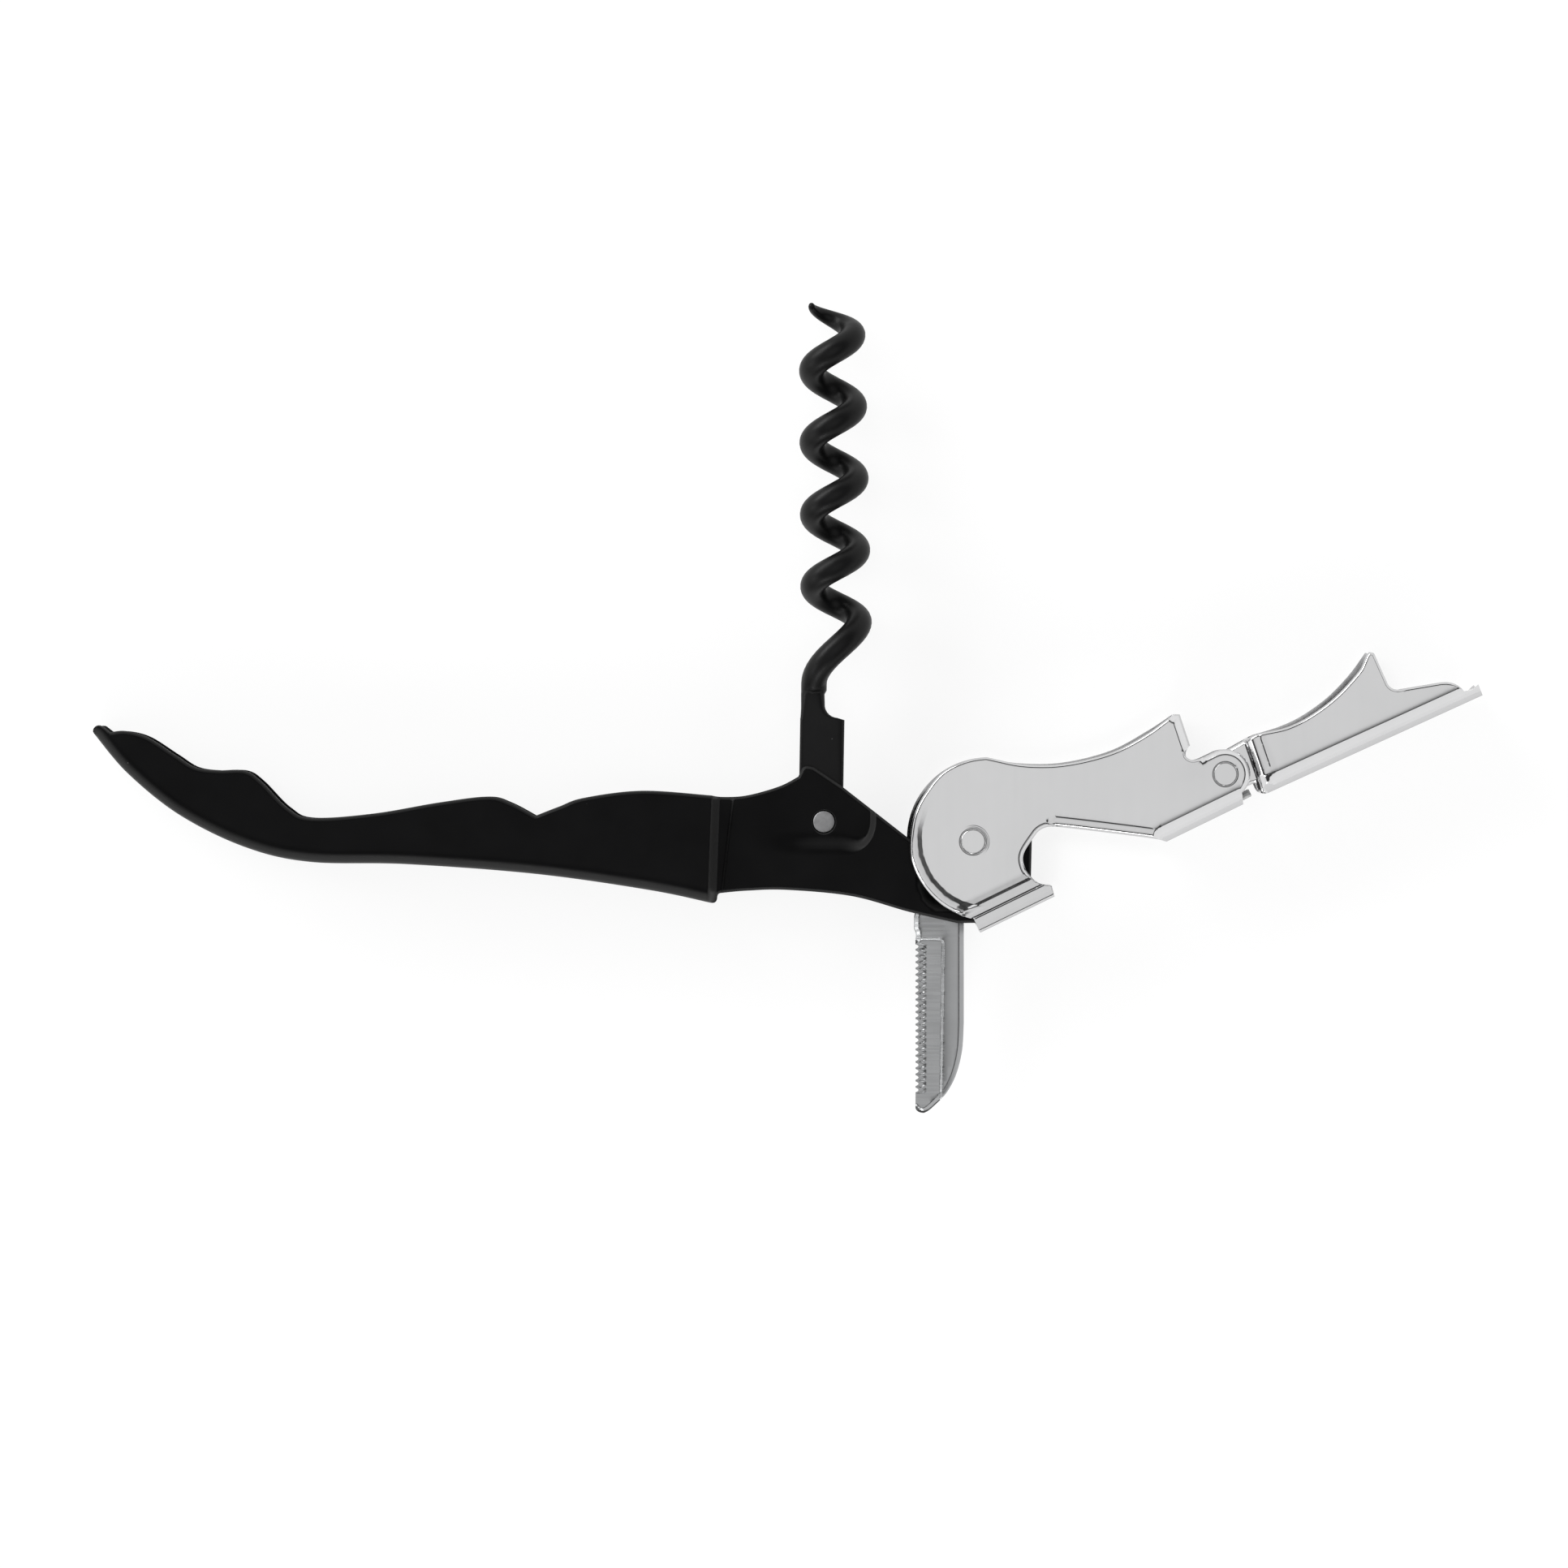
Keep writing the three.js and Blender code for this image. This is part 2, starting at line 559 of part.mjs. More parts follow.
function leverSide() {
  const side = new THREE.Shape();
  side.moveTo(LIP_END, LEVER_SPINE);
  side.lineTo(-4.25, LEVER_SPINE);
  traceArc(side, leverPlateMiddle, LEVER_PLATE_RADIUS, 233, 66, 26);
  traceSpline(side, [
    point(9.71, 6.45), point(14.76, 4.04), point(20.99, 2.67), point(26.5, 2.85),
    point(30.3, 3.35),
  ], 20);
  side.lineTo(30.9, 3.03);
  side.lineTo(30.35, -1.1);
  side.quadraticCurveTo(28.6, -1.8, 29.6, -2.8);
  const top = BOOT_PIN_AT.y + 3.2;
  const end = BOOT_PIN_AT.x + LEVER_CHEEK_END;
  side.quadraticCurveTo(30.2, top, 31.2, top);
  traceArc(side, point(end - 2.4, top - 2.4), 2.4, 90, 0, 6);
  side.lineTo(end, BOOT_PIN_AT.y - 2.4);
  side.lineTo(LEVER_SPINE_END, LEVER_SPINE + 0.6);
  side.lineTo(LEVER_SPINE_END, LEVER_SPINE);
  side.lineTo(LEVER_MOUTH_END, LEVER_SPINE);
  traceSpline(side, [point(20.76, -9.68), point(13.76, -5.1), point(10.3, -2.9)], 6);
  side.quadraticCurveTo(9, -2.1, 7.8, -2.6);
  traceSpline(side, [point(5.18, -4.2), point(4.5, -5.9), point(4.77, -7.56)], 9);
  side.quadraticCurveTo(5.1, -8.7, LIP_END + 0.28, -9.45);
  return side;
}

// The channel's section at the crown-cap lip: its cheeks turn in, then bulge into a round bar.
function lipSection() {
  const bar = LIP_BAR / 2;
  const barMiddle = halfWidth - bar - LIP_BAR_INSET;
  const near = [
    point(leverInside, CHANNEL_HEIGHT),
    point(halfWidth, CHANNEL_HEIGHT),
    point(halfWidth, LIP_STEP),
    point(halfWidth - LIP_INSET * 0.4, LIP_STEP - 0.75),
    ...[75, 45, 20, -10, -40, -65, -90].map((angle) =>
      point(barMiddle + bar * Math.cos(radians(angle)), bar + bar * Math.sin(radians(angle))),
    ),
  ];
  const neck = headOutside + FACE_GAP; // the head has to pass inside
  const inner = [point(neck, LEVER_SHEET), point(neck, LIP_BAR), point(leverInside, LIP_STEP - 0.3)];
  const half = [...inner, ...near];
  return new THREE.Shape([...half, ...half.map((p) => point(-p.x, p.y)).reverse()]);
}

function lever() {
  const bent = channelSection(TOOL_WIDTH, CHANNEL_HEIGHT, LEVER_SHEET, BEND_RADIUS);
  const middle = (LIP_END + LEVER_MOUTH_END) / 2;
  const channel = straightChannel(lipSection(), -deep / 2, middle, LEVER_SPINE).add(
    straightChannel(bent, middle, deep / 2, LEVER_SPINE),
  );
  const claw = new THREE.Shape([
    point(30.9, 3.03), point(29.7, 3.2), point(29.15, -1.3), point(30.35, -1.1),
  ]);
  const nearClaw = prism(claw, CLAW_REACH, halfWidth);
  const tongue = new THREE.BoxGeometry(TONGUE_LENGTH + 1, HANDLE_SHEET, TONGUE_WIDTH).translate(
    LEVER_SPINE_END + TONGUE_LENGTH / 2 - 0.5, LEVER_SPINE + LEVER_SHEET - 0.25, 0,
  );
  const solid = channel
    .intersect(toSolid(throughPrism(leverSide(), 4)))
    .add(toSolid(nearClaw))
    .add(toSolid(mirrorZ(nearClaw)))
    .add(toSolid(tongue))
    .subtract(pinHole(point(0, 0), LEVER_PIN_RADIUS + PIN_FIT))
    .subtract(pinHole(BOOT_PIN_AT, BOOT_PIN_RADIUS + PIN_FIT));
  return mesh("lever", toGeometry(solid), NICKEL);
}

// ---------------------------------------------------------------- boot

function bootSide() {
  const side = new THREE.Shape();
  side.moveTo(BOOT_SPINE_START, BOOT_SPINE);
  side.lineTo(BOOT_SPINE_START, EAR_TOP);
  side.lineTo(5.6, EAR_TOP);
  traceSpline(side, [
    point(9.1, 2.55), point(12.4, 2.6), point(16.4, 3.4), point(20.2, 4.9), point(23.2, 6.6),
  ], 14);
  side.lineTo(23.7, 6.2);
  side.lineTo(23.66, 1.85);
  side.quadraticCurveTo(23.8, 0.7, 25.3, 0.5);
  side.lineTo(30, -0.75);
  side.quadraticCurveTo(31.9, -1.4, 32.2, -3.1);
  side.lineTo(33.2, -3.3);
  side.lineTo(34.2, -2.96);
  side.lineTo(34.2, BOOT_SPINE);
  return side;
}

function bootEar() {
  const plan = sheetBand(
    [
      point(-deep / 2, earOutside),
      point(EAR_STEP_AT, earOutside),
      point(EAR_STEP_AT + EAR_STEP_RUN, halfWidth),
      point(EAR_STEP_AT + EAR_STEP_RUN + 1, halfWidth),
    ],
    LEVER_SHEET,
  );
  const outline = new THREE.Shape();
  outline.moveTo(12, EAR_TOP);
  outline.lineTo(EAR_STEP_AT, EAR_TOP);
  traceArc(outline, point(0, 0), EAR_RADIUS, 90, 270, 16);
  outline.lineTo(BOOT_SPINE_START, -EAR_RADIUS);
  outline.lineTo(BOOT_SPINE_START, BOOT_SPINE + LEVER_SHEET / 2);
  outline.lineTo(12, BOOT_SPINE + LEVER_SHEET / 2);
  return toSolid(planPrism(plan)).intersect(toSolid(throughPrism(outline)));
}

// Plan of the boot's spine, which narrows with the ears.
function bootPlan() {
  const near = [
    point(BOOT_SPINE_START, earOutside),
    point(EAR_STEP_AT, earOutside),
    point(EAR_STEP_AT + EAR_STEP_RUN, halfWidth),
    point(deep, halfWidth),
  ];
  const far = near.map((p) => point(p.x, -p.y)).reverse();
  return new THREE.Shape([...near, ...far]);
}

function boot() {
  const ear = bootEar();
  const bent = channelSection(TOOL_WIDTH, CHANNEL_HEIGHT, LEVER_SHEET, BEND_RADIUS);
  const solid = straightChannel(bent, BOOT_SPINE_START, deep / 2, BOOT_SPINE)
    .intersect(toSolid(throughPrism(bootSide(), 4)))
    .intersect(toSolid(planPrism(bootPlan())))
    .add(ear)
    .add(toSolid(mirrorZ(toGeometry(ear))))
    .subtract(pinHole(point(0, 0), BOOT_PIN_RADIUS + PIN_FIT));
  return mesh("boot", toGeometry(solid), NICKEL);
}

// ---------------------------------------------------------------- pins

// A turned pin about Z, from pairs of radius and height for its upper half.
function pin(name, half, finish) {
  const lower = [...half].reverse().map(([r, z]) => point(r, -z));
  const profile = [...lower, ...half.map(([r, z]) => point(r, z))];
  const turned = new THREE.LatheGeometry(profile, ROUND_STEPS).rotateX(Math.PI / 2);
  return mesh(name, toGeometry(toSolid(turned)), finish);
}

function wormRivet() {
  const end = wormFloor + HANDLE_SHEET;
  const rivet = pin("worm_rivet", [[WORM_RIVET_RADIUS, end], [0, end]], RIVET_STEEL);
  rivet.position.set(WORM_RIVET_AT.x, WORM_RIVET_AT.y, 0);
  return rivet;
}

function knifeRivet() {
  const end = knifeFloor + HANDLE_SHEET;
  const rivet = pin("knife_rivet", [[KNIFE_RIVET_RADIUS, end], [0, end]], RIVET_STEEL);
  rivet.position.set(KNIFE_RIVET_AT.x, KNIFE_RIVET_AT.y, 0);
  return rivet;
}

function leverPin() {
  const shoulder = leverInside - FACE_GAP;
  const profile = [
    [LEVER_PIN_BARREL, shoulder], [LEVER_PIN_RADIUS, shoulder], [LEVER_PIN_RADIUS, halfWidth],
    [0, halfWidth],
  ];
  return pin("lever_pin", profile, NICKEL);
}

function bootPin() {
  const crown = 0.25;
  const profile = [
    [BOOT_PIN_RADIUS, halfWidth - crown], [BOOT_PIN_RADIUS * 0.7, halfWidth - crown * 0.3],
    [0, halfWidth],
  ];
  const made = pin("boot_pin", profile, NICKEL);
  made.position.set(BOOT_PIN_AT.x, BOOT_PIN_AT.y, 0);
  return made;
}

// ---------------------------------------------------------------- assembly

const bootGroup = new THREE.Group();
bootGroup.add(boot());
bootGroup.position.set(BOOT_PIN_AT.x, BOOT_PIN_AT.y, 0);
bootGroup.rotation.z = radians(BOOT_TILT);

const leverGroup = new THREE.Group();
leverGroup.add(lever(), bootPin(), bootGroup);
leverGroup.rotation.z = radians(LEVER_TILT);

const tool = new THREE.Group();
tool.add(handle(), worm(), wormRivet(), knife(), knifeRivet(), leverPin(), leverGroup);

const bounds = new THREE.Box3().setFromObject(tool, true);
tool.position.set(
  -(bounds.min.x + bounds.max.x) / 2,
  -(bounds.min.y + bounds.max.y) / 2,
  -bounds.min.z,
);

const corkscrew = new THREE.Group();
corkscrew.add(tool);

export default corkscrew;
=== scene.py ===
"""Double-hinged pocket corkscrew: finished pieces, materials and stage round the CAD frame."""

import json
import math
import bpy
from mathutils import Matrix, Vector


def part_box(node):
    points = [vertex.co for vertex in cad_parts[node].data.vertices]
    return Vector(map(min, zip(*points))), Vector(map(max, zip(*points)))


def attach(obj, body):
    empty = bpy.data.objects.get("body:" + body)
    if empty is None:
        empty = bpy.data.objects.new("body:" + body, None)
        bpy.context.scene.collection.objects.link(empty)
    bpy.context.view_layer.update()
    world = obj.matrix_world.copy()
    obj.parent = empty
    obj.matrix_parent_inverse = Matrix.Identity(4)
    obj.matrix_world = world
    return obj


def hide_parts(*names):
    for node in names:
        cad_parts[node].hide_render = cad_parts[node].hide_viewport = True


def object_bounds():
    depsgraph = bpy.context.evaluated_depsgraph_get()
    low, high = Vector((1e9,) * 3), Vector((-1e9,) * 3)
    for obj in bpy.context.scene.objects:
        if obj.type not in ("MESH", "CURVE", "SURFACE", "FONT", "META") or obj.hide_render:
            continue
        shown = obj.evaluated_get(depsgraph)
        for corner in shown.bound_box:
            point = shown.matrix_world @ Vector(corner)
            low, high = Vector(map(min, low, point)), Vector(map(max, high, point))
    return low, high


bl_info = {
    "name": "Pocket Corkscrew",
    "version": (1, 0, 0),
    "blender": (4, 5, 0),
    "location": "3D View > Sidebar > Corkscrew",
    "description": "Builds a double-hinged corkscrew with its finishes and a plain studio",
    "category": "Object",
}

import bmesh
import bpy
import numpy as np
from mathutils import Matrix, Vector
from mathutils.geometry import delaunay_2d_cdt
from mathutils.kdtree import KDTree

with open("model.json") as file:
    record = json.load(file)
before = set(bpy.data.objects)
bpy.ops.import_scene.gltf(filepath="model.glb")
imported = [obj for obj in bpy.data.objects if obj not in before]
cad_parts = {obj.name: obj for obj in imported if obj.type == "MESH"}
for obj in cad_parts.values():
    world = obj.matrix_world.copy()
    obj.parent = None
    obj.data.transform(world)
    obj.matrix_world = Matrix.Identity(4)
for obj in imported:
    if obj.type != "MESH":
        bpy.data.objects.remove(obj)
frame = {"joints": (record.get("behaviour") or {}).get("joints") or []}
cad_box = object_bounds()

# Lengths are in mm and angles in degrees, where nothing else is said.
MM = 0.001
FINE = 0.25  # mm, longest step of an outline
GRID = 0.6  # mm, between the places that fill a face
MERGE = 0.08  # mm, square that keeps only one of a face's places
CLEAR = 0.15  # mm, past an edge's profile, where its rows and its drop have ended
SOFTEN = 0.1  # mm, width that edge profiles are softened over
NUDGE = 0.03  # mm, step that slopes are measured over
BEND = 2.0  # mm, outside radius of every spine bend
HOLE_SIDES = 48
# Rows of places follow the edges at these distances in mm, closest where the profiles turn.
ROWS = (0.1, 0.22, 0.36, 0.52, 0.72, 0.95, 1.12, 1.27, 1.42, 1.6, 1.8, 1.97, 2.05, 2.14, 2.27,
        2.42, 2.6, 2.75, 2.9)
BEND_ROWS = ROWS[10:]  # those that also go round the end of a bend
LIP_ROWS = (1.73, 1.88, 2.0, 2.12, 2.2, 3.2, 3.3, 3.4, 3.5, 3.6, 3.7, 3.9, 4.2, 4.5)


# ---------------- what a user can change


def colour_property(name, description, default):
    return bpy.props.FloatVectorProperty(
        name=name, description=description, default=default,
        size=3, min=0.0, max=1.0, subtype="COLOR",
    )


class CorkscrewSizes(bpy.types.PropertyGroup):
    """Sizes of the stage."""

    camera_height: bpy.props.FloatProperty(
        name="Camera height",
        description="Distance of the camera from the upper face of the tool",
        default=1.5,
        min=0.4,
        max=4.0,
        unit="LENGTH",
    )


class CorkscrewColours(bpy.types.PropertyGroup):
    """Colours of the finishes."""

    paint: colour_property(
        "Handle paint", "Satin enamel of the handle", (0.0036, 0.0036, 0.0038)
    )
    coating: colour_property(
        "Worm coating", "Slippery coating of the worm", (0.004, 0.004, 0.0042)
    )
    nickel: colour_property(
        "Nickel plating", "Bright plating of the lever and the boot", (0.62, 0.62, 0.625)
    )
    steel: colour_property(
        "Blade steel", "Ground stainless steel of the knife", (0.36, 0.365, 0.37)
    )
    rivet: colour_property(
        "Rivet steel", "Dull steel of the rivet heads", (0.34, 0.34, 0.345)
    )


def colours():
    return bpy.context.scene.corkscrew_colours


# ---------------- shader building


class Socket:
    """An output of a shader node. Arithmetic on it adds Math nodes to that node's tree."""

    def __init__(self, shader, output):
        self.shader = shader
        self.output = output

    def _math(self, operation, first, second):
        inputs = {0: first, 1: second}
        return self.shader.node("ShaderNodeMath", {"operation": operation}, inputs)["Value"]

    def __add__(self, other):
        return self._math("ADD", self, other)

    def __sub__(self, other):
        return self._math("SUBTRACT", self, other)

    def __rsub__(self, other):
        return self._math("SUBTRACT", other, self)

    def __mul__(self, other):
        return self._math("MULTIPLY", self, other)

    def __gt__(self, other):
        return self._math("GREATER_THAN", self, other)

    def __lt__(self, other):
        return self._math("LESS_THAN", self, other)

    def __abs__(self):
        return self._math("MAXIMUM", self, self * -1.0)

    def clamped(self):
        """Kept between 0 and 1."""
        return self._math("MINIMUM", self._math("MAXIMUM", self, 0.0), 1.0)


class Outputs:
    """The outputs of one node, by name or by number."""

    def __init__(self, shader, made):
        self.shader = shader
        self.made = made

    def __getitem__(self, key):
        return Socket(self.shader, self.made.outputs[key])


class Shader:
    """A node tree that is written as calls."""

    def __init__(self, tree):
        self.tree = tree
        tree.nodes.clear()

    def node(self, kind, settings=None, inputs=None):
        """Adds a node: its settings first, then its inputs, each a value or a link."""
        made = self.tree.nodes.new(kind)
        for key, value in (settings or {}).items():
            if key == "stops":
                self._fill_ramp(made.color_ramp, value)
            else:
                setattr(made, key, value)
        for key, value in (inputs or {}).items():
            if isinstance(value, Socket):
                self.tree.links.new(value.output, made.inputs[key])
            else:
                made.inputs[key].default_value = value
        return Outputs(self, made)

    @staticmethod
    def _fill_ramp(ramp, stops):
        while len(ramp.elements) < len(stops):
            ramp.elements.new(1.0)
        for element, (place, grey) in zip(ramp.elements, stops):
            element.position = place
            element.color = (grey, grey, grey, 1.0)

    def noise(self, place, scale, detail=2.0, roughness=0.5):
        """Cloudy values from 0 to 1 at a number of clouds for each metre."""
        inputs = {"Vector": place, "Scale": scale, "Detail": detail, "Roughness": roughness}
        return self.node("ShaderNodeTexNoise", None, inputs)["Fac"]

    def streaks(self, place, scale, turn, detail, roughness=0.5):
        """Noise that is stretched by a scale for each axis, turned about Z in radians."""
        inputs = {"Vector": place, "Scale": scale, "Rotation": (0.0, 0.0, turn)}
        mapped = self.node("ShaderNodeMapping", None, inputs)["Vector"]
        return self.noise(mapped, 1.0, detail, roughness)

    def spread(self, value, low=0.0, high=1.0):
        """Stretches the middle of a noise to a range."""
        limits = {"Value": value, "From Min": 0.3, "From Max": 0.7, "To Min": low, "To Max": high}
        return self.node("ShaderNodeMapRange", {"clamp": True}, limits)["Result"]

    def blend(self, factor, first, second):
        """A colour between two colours, by a Mix node's numbers for its colour sockets."""
        inputs = {0: factor, 6: first, 7: second}
        return self.node("ShaderNodeMix", {"data_type": "RGBA"}, inputs)[2]

    def bump(self, height, distance, strength=1.0):
        """A normal for heights from 0 to 1 over a distance in mm."""
        inputs = {"Height": height, "Distance": distance * MM, "Strength": strength}
        return self.node("ShaderNodeBump", None, inputs)["Normal"]

    def part(self, vector, axis):
        """One part of a vector."""
        return self.node("ShaderNodeSeparateXYZ", None, {"Vector": vector})[axis]

    def specks(self, place, cells, size, share):
        """Few small specks: the middles of cells, kept where the cell's own number is high."""
        cell = self.node("ShaderNodeTexVoronoi", None, {"Vector": place, "Scale": cells})
        number = self.node("ShaderNodeSeparateColor", None, {"Color": cell["Color"]})["Red"]
        return (cell["Distance"] < size) * (number > 1.0 - share)


# ---------------- materials


def rgba(colour, share=1.0):
    return tuple(min(1.0, part * share) for part in colour) + (1.0,)


def grey(level):
    return rgba((level,) * 3)


def new_material(name):
    """A new material with its shader, and the place on the piece that patterns follow."""
    material = bpy.data.materials.new(name)
    material.use_nodes = True
    shader = Shader(material.node_tree)
    place = shader.node("ShaderNodeTexCoord")["Object"]
    return material, shader, place


def only_once(make):
    """The material of a function's name, which the function makes if it isn't there yet."""
    return bpy.data.materials.get(make.__name__) or make()


def surface(material, shader, colour, roughness, normal, metallic=1.0, **more):
    """Ends a material in one Principled shader, with its changing inputs and its fixed ones."""
    inputs = {"Base Color": colour, "Roughness": roughness, "Normal": normal}
    inputs.update(Metallic=metallic, **more)
    made = shader.node("ShaderNodeBsdfPrincipled", None, inputs)
    shader.node("ShaderNodeOutputMaterial", None, {"Surface": made["BSDF"]})
    return material


def satin_black(name, colour, roughness, specular, dust, edge_highlight_grey):
    """Dark satin finish with a faint orange peel, a few specks of dust, and a painted highlight, a
    lighter base colour, where the surface turns over an edge."""
    material, shader, place = new_material(name)
    clouds = shader.spread(shader.noise(place, 160.0, 3.0))
    shade = shader.blend(clouds, rgba(colour, 0.85), rgba(colour, 1.25))
    specks = shader.specks(place, 210.0, 0.035, dust)
    fine = shader.specks(place, 700.0, 0.05, dust * 0.6)
    dust_and_edge_highlight = shader.blend(specks + fine * 0.5, shade, grey(0.16))
    # Painted highlight: the base colour turns lighter grey where the surface tilts over an edge or
    # a bend, standing in for the glints of light there.
    level = shader.part(shader.node("ShaderNodeTexCoord")["Normal"], "Z")
    edge = ((0.93 - abs(level)) * 5.0).clamped() * (abs(level) * 3.0).clamped()
    dust_and_edge_highlight = shader.blend(edge, dust_and_edge_highlight, grey(edge_highlight_grey))
    peel = shader.noise(place, 2600.0)
    rough = shader.spread(shader.noise(place, 420.0), roughness - 0.03, roughness + 0.04)
    rough = rough + specks * 0.3
    fixed = {"Specular IOR Level": specular}
    return surface(material, shader, dust_and_edge_highlight, rough, shader.bump(peel, 0.004), 0.0, **fixed)


def nickel_plate():
    """Bright plating over rolled sheet: faint mottling, and hairlines from handling."""
    material, shader, place = new_material("nickel_plate")
    colour = colours().nickel
    mottle = shader.spread(shader.noise(place, 70.0, 4.0, 0.6))
    shade = shader.blend(mottle, rgba(colour, 0.96), rgba(colour, 1.03))
    lines = shader.streaks(place, (1400.0, 40.0, 40.0), 0.5, 3.0)
    rough = shader.spread(lines, 0.10, 0.17) + shader.spread(mottle, -0.01, 0.03)
    return surface(material, shader, shade, rough, shader.bump(lines * 0.4 + mottle, 0.006, 0.6))


def cut_edge():
    """Sheared edge of plated sheet, grey and torn."""
    material, shader, place = new_material("cut_edge")
    grain = shader.noise(place, 2200.0, 4.0, 0.7)
    shade = shader.blend(shader.spread(grain), grey(0.34), grey(0.6))
    rough = shader.spread(grain, 0.45, 0.7)
    return surface(material, shader, shade, rough, shader.bump(grain, 0.05, 0.8), 0.3)


def ground_steel():
    """Stainless steel with the fine cross lines of grinding, fainter beside the pocket."""
    material, shader, place = new_material("ground_steel")
    colour = colours().steel
    lines = shader.spread(shader.streaks(place, (60.0, 2600.0, 60.0), 0.0, 4.0, 0.6))
    pocket_side = placed("knife_hinge").translation.x - 0.3 * MM
    beside = ((shader.part(place, "X") - pocket_side) * 4000.0).clamped()
    lines = lines * (1.0 - beside * 0.8) + beside * 0.4
    clouds = shader.spread(shader.noise(place, 240.0, 3.0))
    shade = shader.blend(lines * 0.6 + clouds * 0.4, rgba(colour, 0.88), rgba(colour, 1.14))
    rough = shader.spread(lines, 0.24, 0.38)
    return surface(material, shader, shade, rough, shader.bump(lines + clouds * 0.3, 0.003))


def dull_rivet():
    """Peened rivet steel, dull with small dents."""
    material, shader, place = new_material("dull_rivet")
    colour = colours().rivet
    dents = shader.noise(place, 900.0, 3.0, 0.6)
    shade = shader.blend(shader.spread(dents), rgba(colour, 0.8), rgba(colour, 1.15))
    rough = shader.spread(dents, 0.42, 0.58)
    return surface(material, shader, shade, rough, shader.bump(dents, 0.03, 0.7))


# ---------------- side views


class Outline:
    """A closed line round a flat part, in mm. Each stretch of it names its kind of edge."""

    def __init__(self, x, y):
        self.places = [(x, y)]
        self.kinds = []

    def to(self, kind, *places):
        """Straight steps from place to place."""
        self.places += places
        self.kinds += [kind] * len(places)

    def arc(self, kind, middle, radius, start, end):
        steps = max(3, round(abs(end - start) * radius / 15))
        for step in range(steps + 1):
            angle = math.radians(start + (end - start) * step / steps)
            x = middle[0] + radius * math.cos(angle)
            y = middle[1] + radius * math.sin(angle)
            self.to(kind, (x, y))

    def curve(self, kind, *places):
        """A smooth line from the last place through others."""
        run = [self.places[-1], *places]
        run = [Vector(place) for place in (run[0], *run, run[-1])]
        for a, b, c, d in zip(run, run[1:], run[2:], run[3:]):
            steps = max(2, round((c - b).length / FINE))
            for step in range(1, steps + 1):
                t = step / steps
                place = (
                    b + (c - a) * (t / 2)
                    + (a * 2 - b * 5 + c * 4 - d) * (t * t / 2)
                    + (b * 3 - a - c * 3 + d) * (t * t * t / 2)
                )
                self.to(kind, (place.x, place.y))

    def corner(self, kind, bend, end):
        """A rounded corner that leans towards a bend place."""
        start, bend, end = Vector(self.places[-1]), Vector(bend), Vector(end)
        for step in range(1, 7):
            t = step / 6
            place = start * (1 - t) ** 2 + bend * (2 * t * (1 - t)) + end * t * t
            self.to(kind, (place.x, place.y))

    def stretches(self):
        """Closed and cut into fine steps, anticlockwise: starts, ends and kinds of the steps."""
        places, kinds = [np.array(self.places[0], float)], []
        for place, kind in zip(self.places[1:], self.kinds):
            start = places[-1]
            gap = np.array(place, float) - start
            steps = math.ceil(np.hypot(*gap) / FINE - 1e-6)
            places += [start + gap * step / steps for step in range(1, steps + 1)]
            kinds += [kind] * steps
        places = np.array(places)
        if np.hypot(*(places[-1] - places[0])) > 0.001:
            raise ValueError("an outline is left open")
        starts = places[:-1]
        ends = np.roll(starts, -1, axis=0)
        area = np.sum(starts[:, 0] * ends[:, 1] - ends[:, 0] * starts[:, 1])
        if area < 0:
            starts, ends = ends[::-1], starts[::-1]
            kinds = kinds[::-1]
        return starts, ends, np.array(kinds)


class Steps:
    """Straight steps of an outline, that distances are measured to."""

    def __init__(self, starts, ends):
        self.starts, self.along = starts, ends - starts
        self.length = np.maximum(np.sum(self.along**2, axis=1), 1e-12)  # squared
        left = np.stack((-self.along[:, 1], self.along[:, 0]), axis=1)
        self.left = left / np.sqrt(self.length)[:, None]
        self.tree = KDTree(len(starts))
        for number, (x, y) in enumerate((starts + ends) / 2):
            self.tree.insert((x, y, 0), number)
        self.tree.balance()
        self.near = min(4, len(starts))

    def nearest(self, places):
        """Numbers of the steps whose middles are nearest to each place."""
        find = self.tree.find_n
        return np.array([[hit[1] for hit in find((x, y, 0), self.near)] for x, y in places])

    def reach(self, places):
        """Distance from each place to the nearest step."""
        if not len(places):
            return np.zeros(0)
        near = self.nearest(places)
        part = places[:, None] - self.starts[near]
        along = self.along[near]
        t = np.clip(np.sum(part * along, axis=2) / self.length[near], 0, 1)
        gap = part - t[..., None] * along
        return np.sqrt(np.min(np.sum(gap * gap, axis=2), axis=1))


def edge_profile(*pairs):
    """Drop of a face near an edge, from pairs of distance and drop in mm, softened."""
    width = pairs[-1][0]
    fine = np.linspace(-0.2, width + 0.2, 400)
    drop = np.interp(fine, *zip(*pairs))
    soft = max(3, int(SOFTEN / (fine[1] - fine[0])))
    padded = np.pad(drop, soft, mode="edge")
    drop = np.convolve(padded, np.ones(soft) / soft, mode="same")[soft:-soft]
    return fine, drop, width


def edge_profiles(**kinds):
    """Profiles of one part's kinds of edge, from the pairs for each."""
    return {kind: edge_profile(*pairs) for kind, pairs in kinds.items()}


def smooth_step(value):
    value = np.clip(value, 0, 1)
    return value * value * (3 - 2 * value)


def ring(middle, radius, angles):
    """Places on a circle, at angles in radians."""
    return np.stack((np.cos(angles), np.sin(angles)), axis=1) * radius + middle


def plane(height):
    """A face height that is the same everywhere."""
    return lambda places: np.full(len(places), height)


# ---------------- skins


